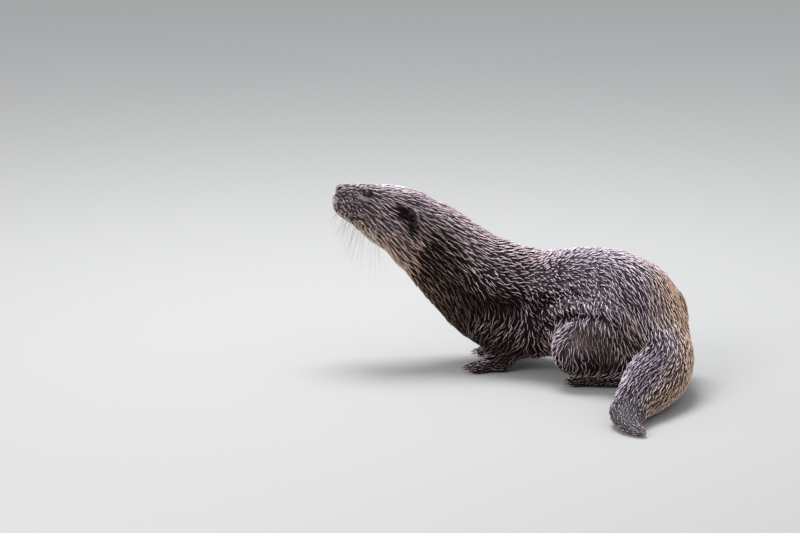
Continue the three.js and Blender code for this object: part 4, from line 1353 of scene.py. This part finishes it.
ear_parts = []
for side in SIDES:
    flap = smooth_copy(f"ear_{side}", EAR_GRAIN, EAR_ROUNDS)
    centre = flap.co.mean(axis=0)
    rel = EAR_SIZE * (flap.co - centre)
    level, high = rel @ BACK, rel @ UP
    rel += np.outer(level * (math.cos(EAR_LEAN) - 1) - high * math.sin(EAR_LEAN), BACK)
    rel += np.outer(level * math.sin(EAR_LEAN) + high * (math.cos(EAR_LEAN) - 1), UP)
    centre = centre + EAR_SHIFT[0] * BACK + EAR_SHIFT[1] * UP
    flap.co = centre + rel
    cup_way = np.linalg.svd(rel, full_matrices=False)[2][2]  # the flap is thinnest that way
    cup_way *= np.sign(cup_way @ (OUTWARD[side] - EAR_FACING * BACK))
    facing = fade(flap.normals() @ cup_way, *EAR_FRONT)
    from_middle = np.linalg.norm(rel - np.outer(rel @ cup_way, cup_way), axis=1)
    cup = facing * (1 - fade(from_middle / from_middle.max(), *CUP))
    flap.co -= np.outer(EAR_HOLLOW * cup, cup_way)
    flap.normals()
    ear = new_piece(f"ear_flap_{side}", flap.mesh)
    smooth(ear)
    set_vectors(flap.mesh, "unbent", np.stack([rel @ BACK, rel @ UP, rel[:, 1]], axis=1))
    # Painted shade in the ear's cup, lighter on its back.
    light = EAR_LIGHTNESS[0] + EAR_LIGHTNESS[1] * (1.0 - facing)
    set_vectors(flap.mesh, "markings_and_light", np.outer(light, (0, 0, 1)))
    ear_parts.append(ear_locks(flap, facing))
    flap.mesh.materials.append(skin_mesh.materials[0])
    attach(ear, "root")
    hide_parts(f"ear_{side}")

ear_paths, ear_outs, ear_widths, ear_marks = (np.concatenate(part) for part in zip(*ear_parts))
number = np.arange(len(ear_paths))
first_along, first_across, gap, row = EAR_MAP
ear_roots = np.stack([first_along + gap * (number // row), first_across + gap * (number % row)], axis=1)
ear_coat = joined_locks("coat_ears", ear_paths, ear_outs, ear_widths, ear_widths, ear_roots, ear_marks)
ear_coat.data.materials.append(coat_finish)


# The claws: short, curved and blunt, of horn that is dark at the root and paler at the tip.
CLAW_GRAIN = 0.0004
CLAW_ROUNDS = 3
HORN_GRAIN = 900.0
HORN_PALENESS = 0.5  # the tip's share of the paler colour where the grain is darkest
HORN_COLOURS = ((0.035, 0.024, 0.018, 1), (0.36, 0.28, 0.20, 1))


def horn_material():
    """Horn that grows paler along its length, unevenly."""
    material, tree, shader = new_material("horn", Roughness=0.3)
    along = parts_of(tree, "length")[0]
    place = add_shader_node(tree, "TexCoord").outputs["Object"]
    grain = {"Vector": place, "Scale": HORN_GRAIN, "Detail": 2}
    grain = add_shader_node(tree, "TexNoise", grain).outputs["Fac"]
    share = calculated(tree, "MULTIPLY", along, calculated(tree, "ADD", grain, HORN_PALENESS), clamp=True)
    tree.links.new(mixed(tree, share, *HORN_COLOURS), shader.inputs["Base Color"])
    return material


horn = horn_material()
for foot, claws in CLAWS.items():
    for claw in claws:
        form = smooth_copy(claw, CLAW_GRAIN, CLAW_ROUNDS)
        gone = np.linalg.norm(form.co - middle(foot), axis=1)
        along = (gone - gone.min()) / (gone.max() - gone.min())
        set_vectors(form.mesh, "length", np.stack([along, along, along], axis=1))
        nail = new_piece(claw.replace("claw", "nail"), form.mesh)
        smooth(nail)
        form.mesh.materials.append(horn)
        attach(nail, "root")
        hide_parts(claw)


# The whiskers: stiff pale bristles, wet and drooping, in rows on the pads, under the cheeks and on the
# brows. Each grows from the skin and narrows to its tip.
# Rows and columns; the first and the last root behind and above the nose, in millimetres; the first and
# the last whisker's ways, as shares outward, back and up; lengths, in metres; and droop.
WHISKERS = {
    "pad": ((3, 4), (5, -19), (25, -28), (0.40, -0.45, -0.8), (0.35, -0.05, -0.95), (0.016, 0.042), 0.2),
    "front": ((3, 5), (-1, -10), (4, -16), (0.45, -0.8, -0.4), (0.4, -0.7, -0.6), (0.006, 0.014), 0.1),
    "cheek": ((3, 7), (32, -27), (66, -30), (0.30, -0.05, -0.95), (0.35, 0.5, -0.8), (0.050, 0.080), 0.12),
    "chin": ((2, 5), (22, -31), (40, -36), (0.25, -0.2, -0.9), (0.25, 0.0, -0.9), (0.030, 0.050), 0.1),
    "brow": ((1, 5), (24, 18), (64, 24), (0.25, 0.45, 0.85), (0.25, 0.6, 0.75), (0.010, 0.022), -0.1),
}
WHISKER_HALF_WIDTH = 0.00023
WHISKER_TIP = 0.25  # its width there, beside the root's
WHISKER_STRAY = 0.17
ROOT_STRAY = 0.8  # in millimetres
LENGTH_BY_PLACE = (0.6, 0.4)  # how far the length follows the place in the row, and chance
RIDGE_OUTWARD = 0.3  # how far a whisker's ridge faces outward, beside upward
WHISKER_COLOUR = (0.60, 0.55, 0.47, 1)
WHISKER_MAP = (0.05, 0.1, 0.05, 10)  # the first one's place in the baked map, the gaps, how many to a row


def whisker_paths():
    """The whiskers' lines, and a way that each one's ridge faces."""
    by_place, by_chance = LENGTH_BY_PLACE
    paths, outs = [], []
    for side in SIDES:
        for (rows, columns), first, last, way, last_way, (shortest, longest), sag in WHISKERS.values():
            for row in range(rows):
                for column in range(columns):
                    share = (column + 0.5) / columns
                    drop = (row + 0.5) / rows
                    back = first[0] + (last[0] - first[0]) * share + chance.normal(0, ROOT_STRAY)
                    up = first[1] + (last[1] - first[1]) * drop + chance.normal(0, ROOT_STRAY)
                    root = on_head(back, up, side)
                    outward, behind, above = (1 - share) * np.array(way) + share * np.array(last_way)
                    aim = outward * OUTWARD[side] + behind * BACK + above * UP
                    aim = unit(aim + chance.normal(0, WHISKER_STRAY, 3))
                    how_long = by_place * share + by_chance * chance.random()
                    length = shortest + (longest - shortest) * how_long
                    steps = (np.arange(RINGS + 1) / RINGS)[:, None]
                    paths.append(root + length * (steps * aim + sag * steps**2 * DOWN))
                    outs.append(np.repeat([UP + RIDGE_OUTWARD * OUTWARD[side]], RINGS + 1, axis=0))
    return np.array(paths), unit(np.array(outs))


whisker_lines, whisker_outs = whisker_paths()
taper = WHISKER_HALF_WIDTH * np.linspace(1, WHISKER_TIP, RINGS + 1)
whisker_widths = np.repeat(taper[None], len(whisker_lines), axis=0)
number = np.arange(len(whisker_lines))
first, row_gap, gap, row = WHISKER_MAP
whisker_roots = np.stack([first + row_gap * (number // row) / row, first + gap * (number % row)], axis=1)
whiskers = joined_locks("whiskers", whisker_lines, whisker_outs, whisker_widths, whisker_widths,
                        whisker_roots, np.ones((len(whisker_lines), 3)))
whisker_material, _, _ = new_material("whisker", Base_Color=WHISKER_COLOUR, Roughness=0.35)
whiskers.data.materials.append(whisker_material)
